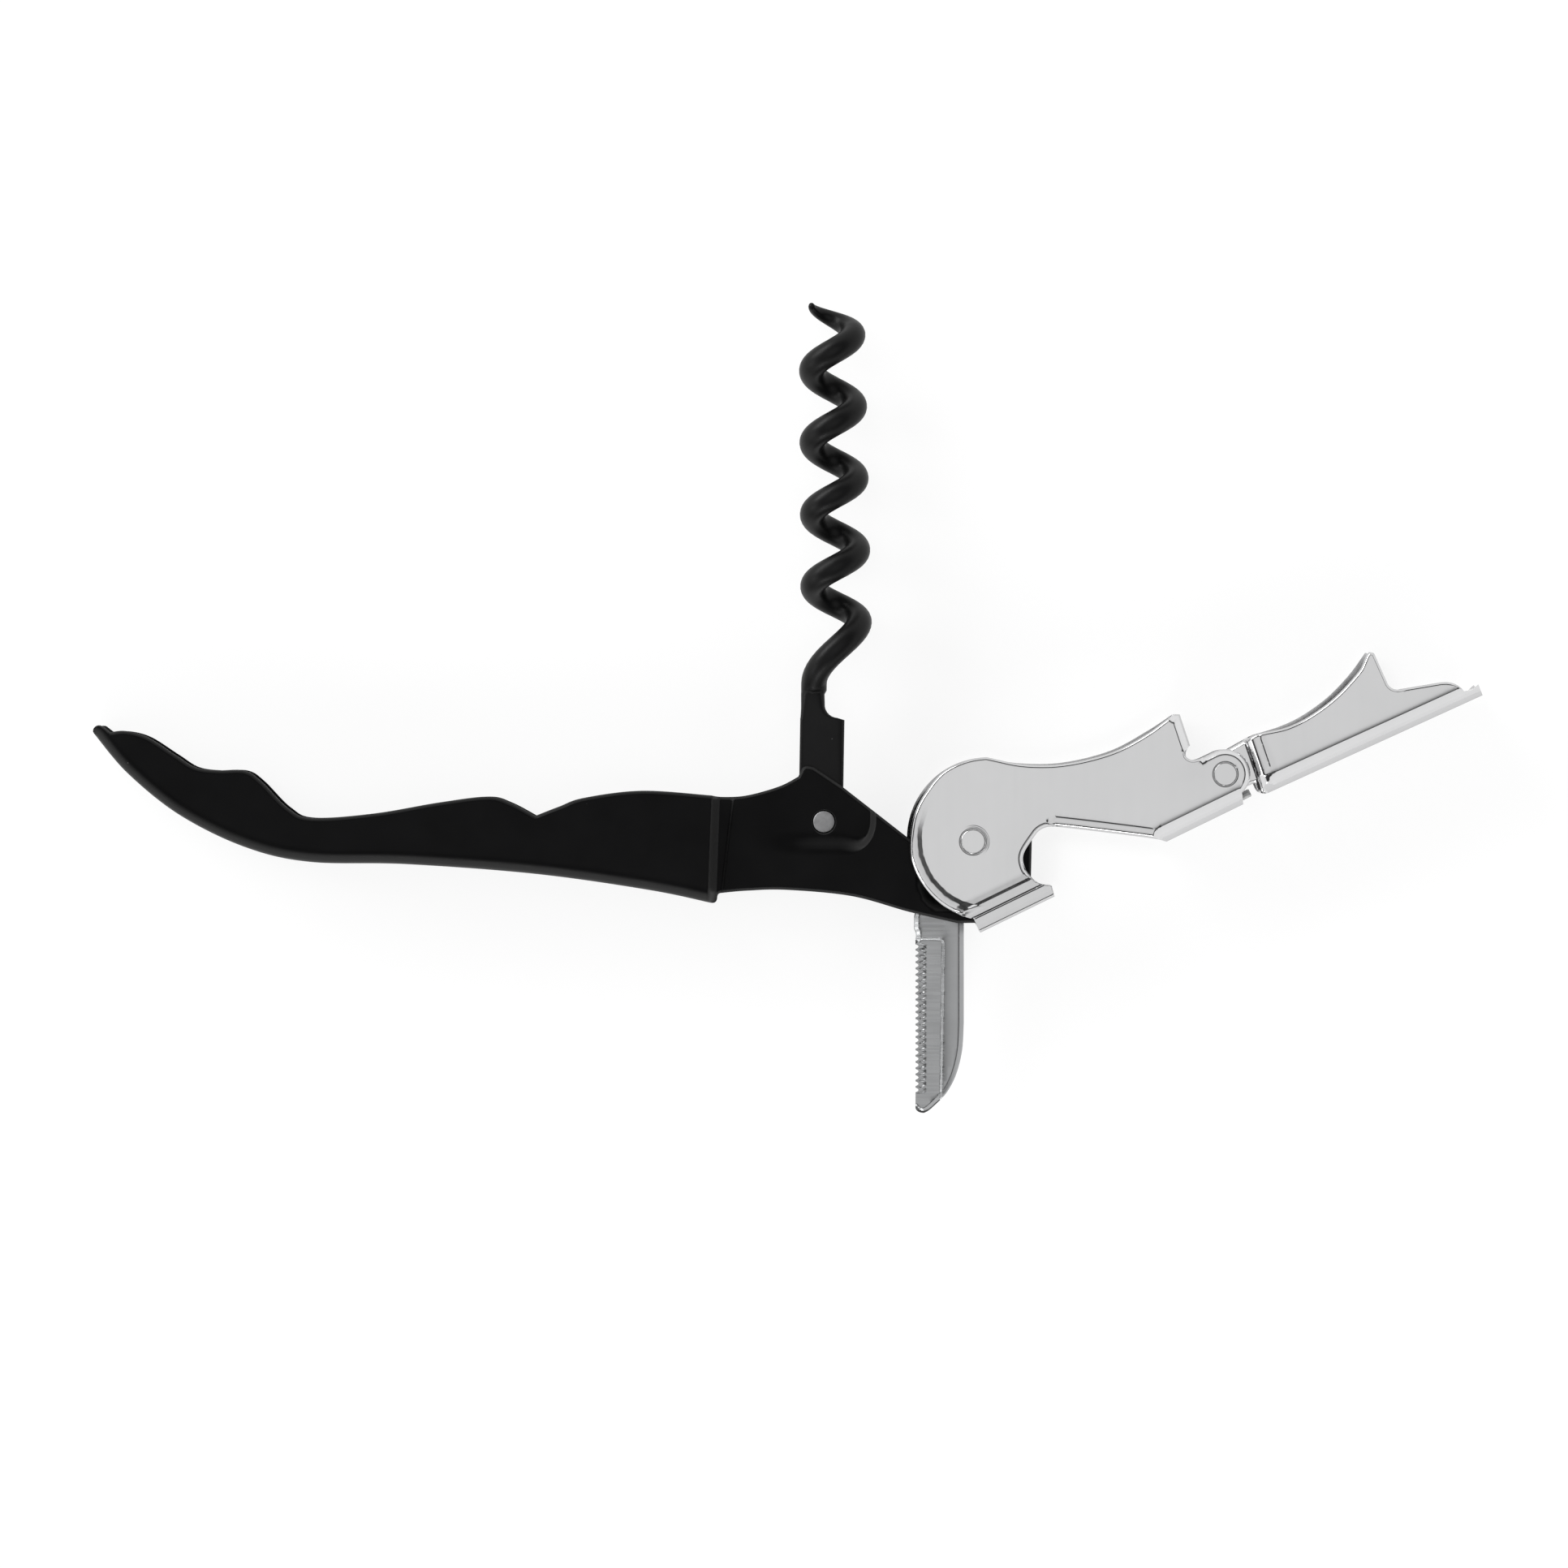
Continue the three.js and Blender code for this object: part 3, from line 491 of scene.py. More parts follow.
class Skin:
    """Faces with their own normals, in mm, until they become a piece in metres."""

    def __init__(self):
        self.places, self.faces, self.normals, self.known = [], [], [], {}

    def corner(self, place):
        key = tuple(round(float(part), 4) for part in place)
        if key not in self.known:
            self.known[key] = len(self.places)
            self.places.append(key)
        return self.known[key]

    def face(self, places, normals, side):
        """A face of the side towards +Z, or the same face of the other side."""
        places, normals = np.array(places), np.array(normals)
        if side < 0:
            places, normals = places[::-1] * (1, 1, -1), normals[::-1] * (1, 1, -1)
        corners = [self.corner(place) for place in places]
        kept = [k for k, corner in enumerate(corners) if corner != corners[k - 1]]
        if len(kept) > 2:
            self.faces.append([corners[k] for k in kept])
            self.normals.extend(normals[k] for k in kept)

    def piece(self, name, matrix):
        mesh = bpy.data.meshes.new(name)
        mesh.from_pydata([matrix @ Vector(place) for place in self.places], [], self.faces)
        mesh.shade_smooth()
        turn = matrix.to_3x3().normalized()
        mesh.normals_split_custom_set([turn @ Vector(normal) for normal in self.normals])
        return bpy.data.objects.new(name, mesh)


def bent_inside(sheet, thickness, least=0.0):
    """Inner face of bent sheet: one thickness in, with the inner side of the spine's bend."""
    bend = BEND - thickness

    def height(places):
        far = sheet.steps["spine"].reach(places)
        fillet = bend - np.sqrt(np.maximum(bend**2 - np.clip(BEND - far, 0, bend) ** 2, 0))
        thinned = np.maximum(sheet.outer(places) - thickness * 0.4, least)
        return np.minimum(sheet.face(places) - thickness - fillet, thinned)

    return height


def sides_of(triangle):
    a, b, c = triangle
    return (a, b), (b, c), (c, a)


class Sheet:
    """Part cut from sheet along an outline, with a face height and an edge finish for each kind."""

    def __init__(self, outline, face, edges, holes=(), extra=(), shrink=None):
        self.starts, self.ends, self.kinds = outline.stretches()
        if shrink:
            self.starts = self.starts + shrink(self.starts)
            self.ends = np.roll(self.starts, -1, axis=0)
        self.face = face  # outer height at places, before the edges drop
        self.edges = edges
        self.holes = holes
        self.extra = list(extra)  # more places that the faces have corners at
        self.rim = Steps(self.starts, self.ends)
        self.steps = {}
        for kind in sorted(set(self.kinds)):  # sorted, so that every run gives the same places
            chosen = self.kinds == kind
            self.steps[str(kind)] = Steps(self.starts[chosen], self.ends[chosen])

    def drop(self, places):
        """Largest drop that any edge makes at each place."""
        found = np.zeros(len(places))
        for kind, steps in self.steps.items():
            found = np.maximum(found, self.fall(steps.reach(places), kind))
        for x, y, radius in self.holes:
            far = np.abs(np.hypot(places[:, 0] - x, places[:, 1] - y) - radius)
            found = np.maximum(found, self.fall(far, "hole"))
        return found

    def fall(self, far, kind):
        fine, drop, width = self.edges[kind]
        return np.where(far < width + CLEAR, np.interp(far, fine, drop), 0)

    def outer(self, places):
        return self.face(places) - self.drop(places)

    def filling(self, rows):
        """Places inside the outline: rows along the edges, the extra places and a grid."""
        rim = self.starts
        inward = self.rim.left + np.roll(self.rim.left, 1, axis=0)
        inward /= np.hypot(inward[:, 0], inward[:, 1])[:, None]
        inner = list(self.extra)
        low, high = rim.min(axis=0), rim.max(axis=0)
        grid = np.mgrid[low[0] : high[0] : GRID, low[1] : high[1] : GRID].reshape(2, -1).T
        for kind, steps in self.steps.items():
            width = self.edges[kind][2]
            for offset in rows:
                if offset < width + CLEAR:
                    row = (rim + inward * offset)[self.kinds == kind]
                    inner.append(row[steps.reach(row) > offset * 0.96])
            grid = grid[steps.reach(grid) > width + 0.1]
        inner = np.concatenate([*inner, grid])
        inner = inner[self.inside(inner)]
        return inner[self.rim.reach(inner) > 0.07]

    def triangles(self, rows):
        """Places and triangles that fill the outline, with finer rows near the edges."""
        inner = self.filling(rows)
        places = [self.starts]
        count = len(self.starts)
        links = [(k, (k + 1) % count) for k in range(count)]
        angles = np.linspace(0, 2 * math.pi, HOLE_SIDES + 1)[:-1]
        for x, y, radius in self.holes:
            first = count + HOLE_SIDES * (len(places) - 1)
            links += [(first + k, first + (k + 1) % HOLE_SIDES) for k in range(HOLE_SIDES)]
            places += [ring((x, y), radius + grow, angles) for grow in (0.0, 0.1, 0.25, 0.45)]
            inner = inner[np.hypot(inner[:, 0] - x, inner[:, 1] - y) > radius + 0.5]
        kept = {}
        for place in inner:
            kept.setdefault((round(place[0] / MERGE), round(place[1] / MERGE)), place)
        places = np.concatenate([*places, np.array(list(kept.values()))])
        flat = [Vector(place) for place in places]
        made = delaunay_2d_cdt(flat, links, [list(range(count))], 1, 1e-5)
        places, triangles = np.array([tuple(place) for place in made[0]]), np.array(made[2])
        middle = places[triangles].mean(axis=1)
        keep = np.ones(len(triangles), bool)
        for x, y, radius in self.holes:
            keep &= np.hypot(middle[:, 0] - x, middle[:, 1] - y) > radius * 0.99
        return places, triangles[keep]

    def inside(self, places):
        """Whether places lie in the outline, by counting the edges to their right."""
        crossings = np.zeros(len(places), int)
        for (x0, y0), (x1, y1) in zip(self.starts, self.ends):
            between = (places[:, 1] < y0) != (places[:, 1] < y1)
            if y1 != y0:
                x = x0 + (places[:, 1] - y0) * (x1 - x0) / (y1 - y0)
                crossings += between & (places[:, 0] < x)
        return crossings % 2 == 1

    def normals(self, places, height):
        """Normals of a height over places, taken just inside the outline."""
        inward = places.copy()
        close = np.nonzero(self.rim.reach(places) < NUDGE)[0]
        step = self.rim.left[self.rim.nearest(places[close])[:, :2]].sum(axis=1)
        length = np.maximum(np.hypot(step[:, 0], step[:, 1]), 1e-9)
        inward[close] += step / length[:, None] * NUDGE * 1.5
        slopes = []
        for nudge in np.array(((NUDGE, 0), (0, NUDGE))):
            slopes.append(-(height(inward + nudge) - height(inward - nudge)) / (2 * NUDGE))
        found = np.stack((*slopes, np.ones(len(places))), axis=1)
        return found / np.linalg.norm(found, axis=1)[:, None]

    def add(self, skin, inner, rows, spine=(), sheet=0.0, sides=(1, -1)):
        """Outer and inner skins, and the walls between them. Near a spine, walls run to the
        middle plane, where the other side's walls meet them."""
        places, triangles = self.triangles(rows)
        top, low = self.outer(places), inner(places)
        top_normals = self.normals(places, self.outer)
        low_normals = -self.normals(places, inner)
        hollow = np.ones(len(triangles), bool)
        if spine:
            far = np.min([self.steps[kind].reach(places) for kind in spine], axis=0)
            hollow = far[triangles].mean(axis=1) > sheet
        upper = np.column_stack((places, top))
        lower = np.column_stack((places, low))
        every = {side for triangle in triangles for side in sides_of(triangle)}
        rim_walls = self.walls(places, triangles, np.ones(len(triangles), bool))
        step_walls = self.walls(places, triangles, hollow) if spine else []
        flat = np.column_stack((places, np.zeros(len(places))))
        for side in sides:
            for triangle, inside in zip(triangles, hollow):
                skin.face(upper[triangle], top_normals[triangle], side)
                if inside:
                    back = triangle[::-1]
                    skin.face(lower[back], low_normals[back], side)
            for a, b, number, first, last in rim_walls:
                deep = lower if hollow[number] else flat
                wall = upper[a], deep[a], deep[b], upper[b]
                skin.face(wall, [first, first, last, last], side)
            for a, b, number, first, last in step_walls:
                if (b, a) in every:
                    wall = lower[a], lower[b], flat[b], flat[a]
                    skin.face(wall, [-first, -last, -last, -first], side)

    @staticmethod
    def walls(places, triangles, chosen):
        """Sides of the chosen triangles that no other chosen one shares: both ends, the
        triangle's number and the normals at the ends."""
        owners = {}
        for number in np.nonzero(chosen)[0]:
            for side in sides_of(triangles[number]):
                owners[side] = number
        border = {a: (b, number) for (a, b), number in owners.items() if (b, a) not in owners}
        before = {b: a for a, (b, number) in border.items()}
        away = {}
        for a, (b, number) in border.items():
            along = places[b] - places[a]
            away[a] = np.array((along[1], -along[0], 0)) / np.hypot(*along)

        def soft(a, other):
            """Normal at the end of a wall that another wall may continue."""
            if other not in away or away[a] @ away[other] < 0.82:
                return away[a]
            both = away[a] + away[other]
            return both / np.linalg.norm(both)

        return [
            (a, b, number, soft(a, before.get(a)), soft(a, b))
            for a, (b, number) in border.items()
        ]


def dress(piece, material, body, slot, *nodes):
    """Gives a piece its finish, and ties it to the frame."""
    bpy.context.scene.collection.objects.link(piece)
    piece.data.materials.clear()
    piece.data.materials.append(material)
    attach(piece, body)
    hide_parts(*nodes)


def placed(joint, tilt=0.0):
    """Matrix from a side view in mm, with its pin at the origin, to the frame."""
    pin = Vector(next(made["pos_m"] for made in frame["joints"] if made["name"] == joint))
    turn = Matrix.Rotation(math.radians(tilt), 4, "Z")
    return Matrix.Translation(pin) @ turn @ Matrix.Scale(MM, 4)


# ---------------- handle

SHOULDER = -33.6  # mm, from the lever pin to where the wide grip steps in to the head
GRIP = 78.7  # mm, from the shoulder to the tip
HALF = 6.0  # mm, from the middle plane to the outer faces of grip, lever and boot
HEAD_HALF = 4.0  # mm, the same to the outside of a head plate
GROOVE_HALF = 3.75  # mm, the same in the groove beside the shoulder
HANDLE_SHEET = 1.0  # mm
PANEL_DEPTH = 1.3  # mm, of the panel that is pressed in round the worm's rivet
PANEL_LEVELS = (0.05, -0.15, -0.35, -0.55, -0.75, -0.95)  # mm, of the rows along its wall
DIMPLE = (2.1, 3.7, 1.5)  # mm, depth, radius and wall of the dimple at the knife's rivet
WORM_PIN = (-19.07, 2.52)
KNIFE_PIN = (-3.4, -5.5)
RIVET_HOLE = 1.45  # mm, radius
HEAD_HOLE = 2.25  # mm, radius, round the lever pin
HANDLE_EDGES = edge_profiles(
    grip=((0, 0.5), (0.12, 0.24), (0.4, 0.05), (0.7, 0)),
    head=((0, 0.4), (0.08, 0.28), (0.34, 0.02), (0.42, 0)),
    spine=[
        (BEND * (1 - math.cos(angle)), BEND * (1 - math.sin(angle)))
        for angle in np.linspace(0, math.pi / 2, 24)
    ],
    hole=((0, 0.2), (0.08, 0.06), (0.2, 0)),
)


def handle_outline():
    def grip(*places):
        return [(SHOULDER - GRIP * share, y) for share, y in places]

    line = Outline(SHOULDER, 5.9)
    line.curve("head", (-32, 5.7), (-28.9, 5.9), (-24.8, 7.05), (-22.35, 8.3))
    line.to("head", (-21.95, 9.1))
    line.corner("head", (-21.7, 9.95), (-20.3, 9.45))
    line.to("head", (-16.6, 6.95), (-8, 0.25))
    line.arc("head", (0, 0), 7.6, 178, 5)
    line.to("head", (7.45, -4.4))
    line.corner("head", (6.6, -7.4), (2.4, -9.4))
    line.to("head", (0.3, -10.42), (-2, -10.45))
    line.curve("head", (-8.2, -9), (-15.5, -7.0), (-23.8, -6.2), (-28.9, -6.3), (-32.3, -6.6))
    line.corner("head", (-32.75, -6.7), (-32.75, -7.3))
    line.corner("head", (-32.8, -7.95), (-33.5, -7.86))
    line.curve("spine", *grip(
        (0.1, -6.2), (0.284, -4.15), (0.494, -2.9), (0.652, -2.6), (0.757, -0.7),
        (0.863, 3.4), (0.947, 8.7), (1.0, 13.6),
    ))
    line.arc("grip", (SHOULDER - GRIP * 0.993, 14.1), 0.78, 185, 40)
    line.to("grip", (SHOULDER - GRIP * 0.975, 13.98))
    line.curve("grip", *grip(
        (0.95, 14.15), (0.915, 13.4), (0.87, 11.15), (0.837, 9.55), (0.8, 9.13), (0.757, 9.1),
        (0.73, 7.75), (0.687, 4.36), (0.648, 3.04), (0.546, 3.6), (0.441, 5.0), (0.362, 5.75),
        (0.325, 5.0), (0.284, 3.3),
    ))
    line.curve("grip", *grip((0.245, 4.5), (0.205, 5.6), (0.112, 6.5), (0, 5.9)))
    return line


def outside_of_panel(x, y, low, high, corner):
    """Distance outside a rounded rectangle, and how far inside it as a negative distance."""
    middle, half = (np.array(low) + high) / 2, (np.array(high) - low) / 2 - corner
    gap_x, gap_y = abs(x - middle[0]) - half[0], abs(y - middle[1]) - half[1]
    out = np.hypot(np.maximum(gap_x, 0), np.maximum(gap_y, 0))
    return out + np.minimum(np.maximum(gap_x, gap_y), 0) - corner


def wall_rows(distance, low, high, levels):
    """Places that follow a pressed or ground wall, where a distance has one of some levels."""
    x, y = np.mgrid[low[0] : high[0] : 0.05, low[1] : high[1] : 0.05].reshape(2, -1)
    out, flat = distance(x, y), np.stack((x, y), axis=1)
    return np.concatenate([flat[np.abs(out - level) < 0.025][::3] for level in levels])


def outside_worm_panel(x, y):
    return outside_of_panel(x, y, (-50, -2), (-12.3, 16), 4.6)


def shoulder_rows():
    """Places across the step and the groove beside it."""
    x, y = np.mgrid[-34.2:-29.6:0.12, -8:7:0.4].reshape(2, -1)
    return np.stack((x - 0.11 * (6 - y), y), axis=1)


def handle_face(places):
    """The wide grip, the slanted step in to the head, and what is pressed into the head."""
    x, y = places.T
    down = np.clip((6 - y) / 12.5, -0.2, 1.2)  # the step and the groove lean with this
    step = smooth_step((x + 33.5 + 0.5 * down) / (1.2 + 0.1 * down))
    groove = smooth_step((x + 30.85 + 1.5 * down) / 0.45)
    height = HALF - (HALF - GROOVE_HALF) * step + (HEAD_HALF - GROOVE_HALF) * groove
    wall = 0.9 + 2.7 * smooth_step((-13.3 - x) / 4)  # mm, wider away from the lever
    panel = smooth_step(-outside_worm_panel(x, y) / wall)
    height -= PANEL_DEPTH * panel * smooth_step((x + 30.5) / 11.0)
    depth, radius, wall = DIMPLE
    far = np.hypot(x - KNIFE_PIN[0], y - KNIFE_PIN[1])
    return height - depth * smooth_step((radius - far) / wall)


# ---------------- worm

WIRE = 3.3  # mm
COIL = (9.25, 8.5)  # mm, outside diameter at the shank and at the point
COIL_AXIS = 1.95  # mm, sideways from the rivet
COIL_START = 21.0  # mm, from the rivet to the start of the pitch
PITCH = 9.22
TURNS = 5
TURN_STEPS = 40  # rings in a turn
TANG = (5.7, 2.8, 13.3)  # mm, width, thickness, and height over the rivet
TANG_FILLET = 1.7
SHANK = 1.525  # mm, half the shank's width
LEAD = 0.3  # radians that the straight shank eases into the first turn over
WORM_LEAN = 0.8  # degrees, when it stands open
ROUND = 28  # places round the wire


def coil_radius(turn):
    share = turn / (TURNS * 2 * math.pi)
    return (COIL[0] + (COIL[1] - COIL[0]) * share - WIRE) / 2


def coil_place(turn):
    """Middle of the wire: it leaves the shank low and climbs steeply, and ends low."""
    early = max(0.0, 1 - turn / math.pi)
    late = max(0.0, 1 - TURNS * 2 + turn / math.pi)
    height = COIL_START + PITCH * turn / (2 * math.pi) - 3.4 * early**1.5 - 0.81 * late**2
    radius = coil_radius(turn)
    return Vector((COIL_AXIS - radius * math.cos(turn), height, radius * math.sin(turn)))


def wire_ring(middle, along, turn, width, thickness, square):
    """Ring round the wire; a square share of 2 is round, and a larger one is flatter."""
    outwards = Vector((-math.cos(turn), 0, math.sin(turn)))
    across = along.cross(outwards).normalized()
    out = across.cross(along).normalized()
    made = []
    for step in range(ROUND):
        angle = (step + 0.5) / ROUND * 2 * math.pi
        u, v = math.cos(angle), math.sin(angle)
        u = math.copysign(abs(u) ** (2 / square), u) * width
        v = math.copysign(abs(v) ** (2 / square), v) * thickness
        made.append(middle + out * u + across * v)
    return made


def tang_rings(shank):
    """Rounded foot, flat tang and its fillet: middle, half width, half thickness, squareness."""
    tang, flat, top = TANG[0] / 2, TANG[1] / 2, TANG[2]
    rings = []
    for share in (-0.985, -0.95, -0.85, -0.7, -0.5, -0.3):
        foot = math.sqrt(max(tang**2 * (1 - share**2), 0.2))
        rings.append(((-0.4, tang * share), foot, flat, 9))
    rings += [((-0.4, 0.0), tang, flat, 9), ((0.0, top - 0.3), tang, flat, 9)]
    for angle in (86, 75, 62, 48, 34, 20, 8):
        bend = math.radians(angle)
        right = shank + SHANK + TANG_FILLET * (1 - math.cos(bend))
        left = -tang + (shank - SHANK + tang) * (1 - angle / 90)
        middle = ((left + right) / 2, top + TANG_FILLET * (1 - math.sin(bend)))
        rings.append((middle, (right - left) / 2, flat, 4 + angle / 25))
    return rings


def worm_rings():
    up = Vector((0, 1, 0))
    shank = COIL_AXIS - coil_radius(0) - 0.15
    climb = (coil_place(LEAD * 1.03).y - coil_place(LEAD).y) / (LEAD * 0.03)
    speed = math.hypot(coil_radius(0), climb) * 2 * LEAD

    def rise(q):
        return speed * q + (2 * LEAD * climb - speed) * q * q / 2

    start = coil_place(LEAD).y - rise(1)
    rings = [*tang_rings(shank), ((shank, start), SHANK, TANG[1] / 2 * 1.1, 3)]
    made = [wire_ring(Vector((*m, 0)), up, 0, w, t, power) for m, w, t, power in rings]
    path = []
    for q in (0.2, 0.4, 0.6, 0.8):
        place = coil_place(LEAD * q * q)
        place.y = start + rise(q)
        path.append((LEAD * q * q, place))
    end = TURNS * 2 * math.pi
    steps = TURNS * TURN_STEPS
    for step in range(steps + 1):
        turn = LEAD + (end - LEAD) * step / steps
        path.append((turn, coil_place(turn)))
    for number, (turn, place) in enumerate(path):
        before, after = path[max(number - 1, 0)][1], path[min(number + 1, len(path) - 1)][1]
        along = (after - before).normalized() if number else up
        left = (end - turn) / math.pi  # half turns left to the point
        radius = WIRE / 2 * min(1.0, 0.21 + 0.79 * max(left, 0) ** 0.88)
        made.append(wire_ring(place, along, turn, radius, radius, 2))
    return made


def lofted(name, rings, matrix):
    """Closed skin over a row of rings."""
    work = bmesh.new()
    rows = [[work.verts.new(matrix @ place) for place in ring] for ring in rings]
    for low, high in zip(rows, rows[1:]):
        for k in range(len(low)):
            work.faces.new((low[k - 1], low[k], high[k], high[k - 1]))
    work.faces.new(rows[0][::-1])
    work.faces.new(rows[-1])
    for face in work.faces:
        face.smooth = True
    bmesh.ops.recalc_face_normals(work, faces=work.faces)
    mesh = bpy.data.meshes.new(name)
    work.to_mesh(mesh)
    work.free()
    return bpy.data.objects.new(name, mesh)


def turned(name, half, matrix):
    """A pin, from pairs of radius and height for its upper half."""
    angles = [2 * math.pi * k / HOLE_SIDES for k in range(HOLE_SIDES)]
    rings = [
        [Vector((radius * math.cos(a), radius * math.sin(a), height)) for a in angles]
        for radius, height in [(r, -z) for r, z in reversed(half)] + list(half)
    ]
    return lofted(name, rings, matrix)


def drilled(piece, place, radius):
    """Cuts a round hole, in metres, right through a piece."""
    drill = turned("drill", [(radius, 0.02)], Matrix.Translation(place))
    bpy.context.scene.collection.objects.link(drill)
    cut = piece.modifiers.new("Hole", "BOOLEAN")
    cut.object = drill
    bpy.context.view_layer.update()
    solid = piece.evaluated_get(bpy.context.evaluated_depsgraph_get())
    piece.data = bpy.data.meshes.new_from_object(solid)
    piece.modifiers.remove(cut)
    bpy.data.objects.remove(drill)


# ---------------- knife

BLADE_FULL, BLADE_THIN = 0.6, 0.15  # mm, half the thickness at the back and at the edge
BLADE_LENGTH = 29.35
BLADE_BACK = 2.3  # mm, sideways from the rivet
BLADE_EDGE = -3.9
BEVEL_WIDTH = 3.4
BEVEL_TOP = -7.2
TOOTH_PITCH = 0.8
TOOTH_COUNT = 24
TOOTH_FIRST = BEVEL_TOP - 0.8  # middle of the gap that is nearest to the rivet
TOOTH_RADIUS = TOOTH_PITCH * 0.55  # of the round wheel that cuts the gaps
TOOTH_SLOPE = math.tan(0.3)
TOOTH_DEPTH = 0.5
POCKET_DEPTH = 0.26
POCKET_LEVELS = (0.05, -0.05, -0.13, -0.21, -0.3, -0.45)  # mm, of the rows along its wall
BLADE_EDGES = edge_profiles(
    back=((0, 0.5), (0.1, 0.4), (0.7, 0)),
    tip=((0, 0.45), (0.6, 0)),
    edge=((0, 0.02), (0.04, 0)),
    hole=((0, 0.15), (0.06, 0.04), (0.15, 0)),
)


def knife_outline():
    tip = -BLADE_LENGTH
    line = Outline(BLADE_BACK, -2.2)
    line.to("back", (BLADE_BACK, tip + 11.5))
    line.curve("back", (2.08, tip + 8), (1.3, tip + 4.9), (0.1, tip + 2.6), (-1.4, tip + 1.0))
    line.curve("tip", (-2.2, tip + 0.31), (BLADE_EDGE + 1.1, tip + 0.01))
    line.corner("tip", (BLADE_EDGE + 0.2, tip + 0.01), (BLADE_EDGE, tip + 0.6))
    for number in reversed(range(TOOTH_COUNT)):
        middle = TOOTH_FIRST - number * TOOTH_PITCH
        for off in (-0.3, -0.2, -0.1, 0.0, 0.1, 0.2, 0.3):
            cut = (math.sqrt(TOOTH_RADIUS**2 - off * off) - 0.32) / TOOTH_SLOPE
            line.to("edge", (BLADE_EDGE + max(cut, 0.0), middle + off))
    line.to("edge", (BLADE_EDGE, -7))
    line.corner("back", (BLADE_EDGE + 0.2, -6.4), (BLADE_EDGE - 0.2, -5.8))
    line.to("back", (BLADE_EDGE - 0.2, -4.2))
    line.arc("back", (0, 0), math.hypot(BLADE_BACK, 2.2), 180, -43.7)
    line.to("back", (BLADE_BACK, -2.2))
    return line


def pocket_line(y):
    """The ground pocket's side away from the edge, which leans a little."""
    return BLADE_EDGE + BEVEL_WIDTH + 0.33 + 0.3 * np.clip((y - BEVEL_TOP) / 19, -1, 0)


def outside_pocket(x, y):
    return outside_of_panel(x - pocket_line(y), y, (-9, -60), (0, 0.3 + BEVEL_TOP), 0.8)


def tooth_places():
    """Places across the tooth gaps."""
    first = TOOTH_FIRST + TOOTH_PITCH / 2
    step = TOOTH_PITCH / 8
    last = first - TOOTH_PITCH * TOOTH_COUNT - step
    return np.mgrid[BLADE_EDGE:-1.2:0.22, last:first:step].reshape(2, -1).T


def blade_face(places):
    """Hollow flat side, the ground bevel, and the round tooth gaps ground into it."""
    x, y = places.T
    hollow = 0.24 * (np.clip(1.6 - x, 0, 2.1) / 1.9) ** 2
    height = BLADE_FULL - hollow * smooth_step((-4 - y) / 3)
    inside = -outside_pocket(x, y)
    height -= POCKET_DEPTH * np.clip(inside / 0.3, 0, 1)
    ground = np.clip((pocket_line(y) - 0.3 - x) / (BEVEL_WIDTH - 0.3), 0, 1)
    height += (BLADE_THIN - height) * (ground * smooth_step(inside / 0.6))
    number = np.clip(np.round((TOOTH_FIRST - y) / TOOTH_PITCH), 0, TOOTH_COUNT - 1)
    off = y - (TOOTH_FIRST - number * TOOTH_PITCH)
    axis = TOOTH_RADIUS + BLADE_THIN - TOOTH_DEPTH + TOOTH_SLOPE * (x - BLADE_EDGE)
    gap = axis - np.sqrt(np.maximum(TOOTH_RADIUS**2 - off**2, 0))
    height = np.where(abs(off) < TOOTH_RADIUS, np.minimum(height, gap), height)
    return np.maximum(height, 0.12 - BLADE_THIN)


def blade_back(sheet):
    """The far side, ground like the near one but without tooth gaps."""

    def height(places):
        x, y = places.T
        start = smooth_step((BEVEL_TOP - y) / 0.4)
        across = np.clip((BLADE_EDGE + BEVEL_WIDTH - x) / BEVEL_WIDTH, 0, 1)
        ground = across * (BLADE_FULL - BLADE_THIN) * start
        return sheet.drop(places) * 0.5 - BLADE_FULL + ground

    return height


# ---------------- lever

LEVER_TILT = 26.0  # degrees, at rest
PLATE = 1.2  # mm, sheet of lever and boot
LEVER_HOLES = (1.62, 1.5)  # mm, radius, round the lever pin and the boot pin
BOOT_PIN = (32.77, -6.4)  # in the lever's side view
LEVER_BEND_END = (33.2, -10.9)
LEVER_LEAST = 4.3  # mm, that the lever's inner faces stay from the middle plane
DISC = (2.04, -0.61)  # middle of the lever's disc, in its side view
DISC_RADIUS = 10.45
DISC_ROLL = edge_profile((0, 0.42), (0.3, 0.37), (0.42, 0.3), (0.75, 0.27), (1.2, 0.2), (1.85, 0.0))
CLAW = ((30.85, 3.0), (29.75, 3.1), (29.2, -1.2), (30.3, -1.05), (30.85, 3.0))
CLAW_INSIDE, CLAW_OUTSIDE = 3.0, 5.0  # mm, from the middle plane, of the turned-in claws
TONGUE = ((33.0, -10.45), (34.6, -10.45), (34.7, -10.3), (34.7, -9.5), (33.0, -9.5),
          (33.0, -10.45))
TONGUE_HALF = 3.0  # mm, half the tongue's width
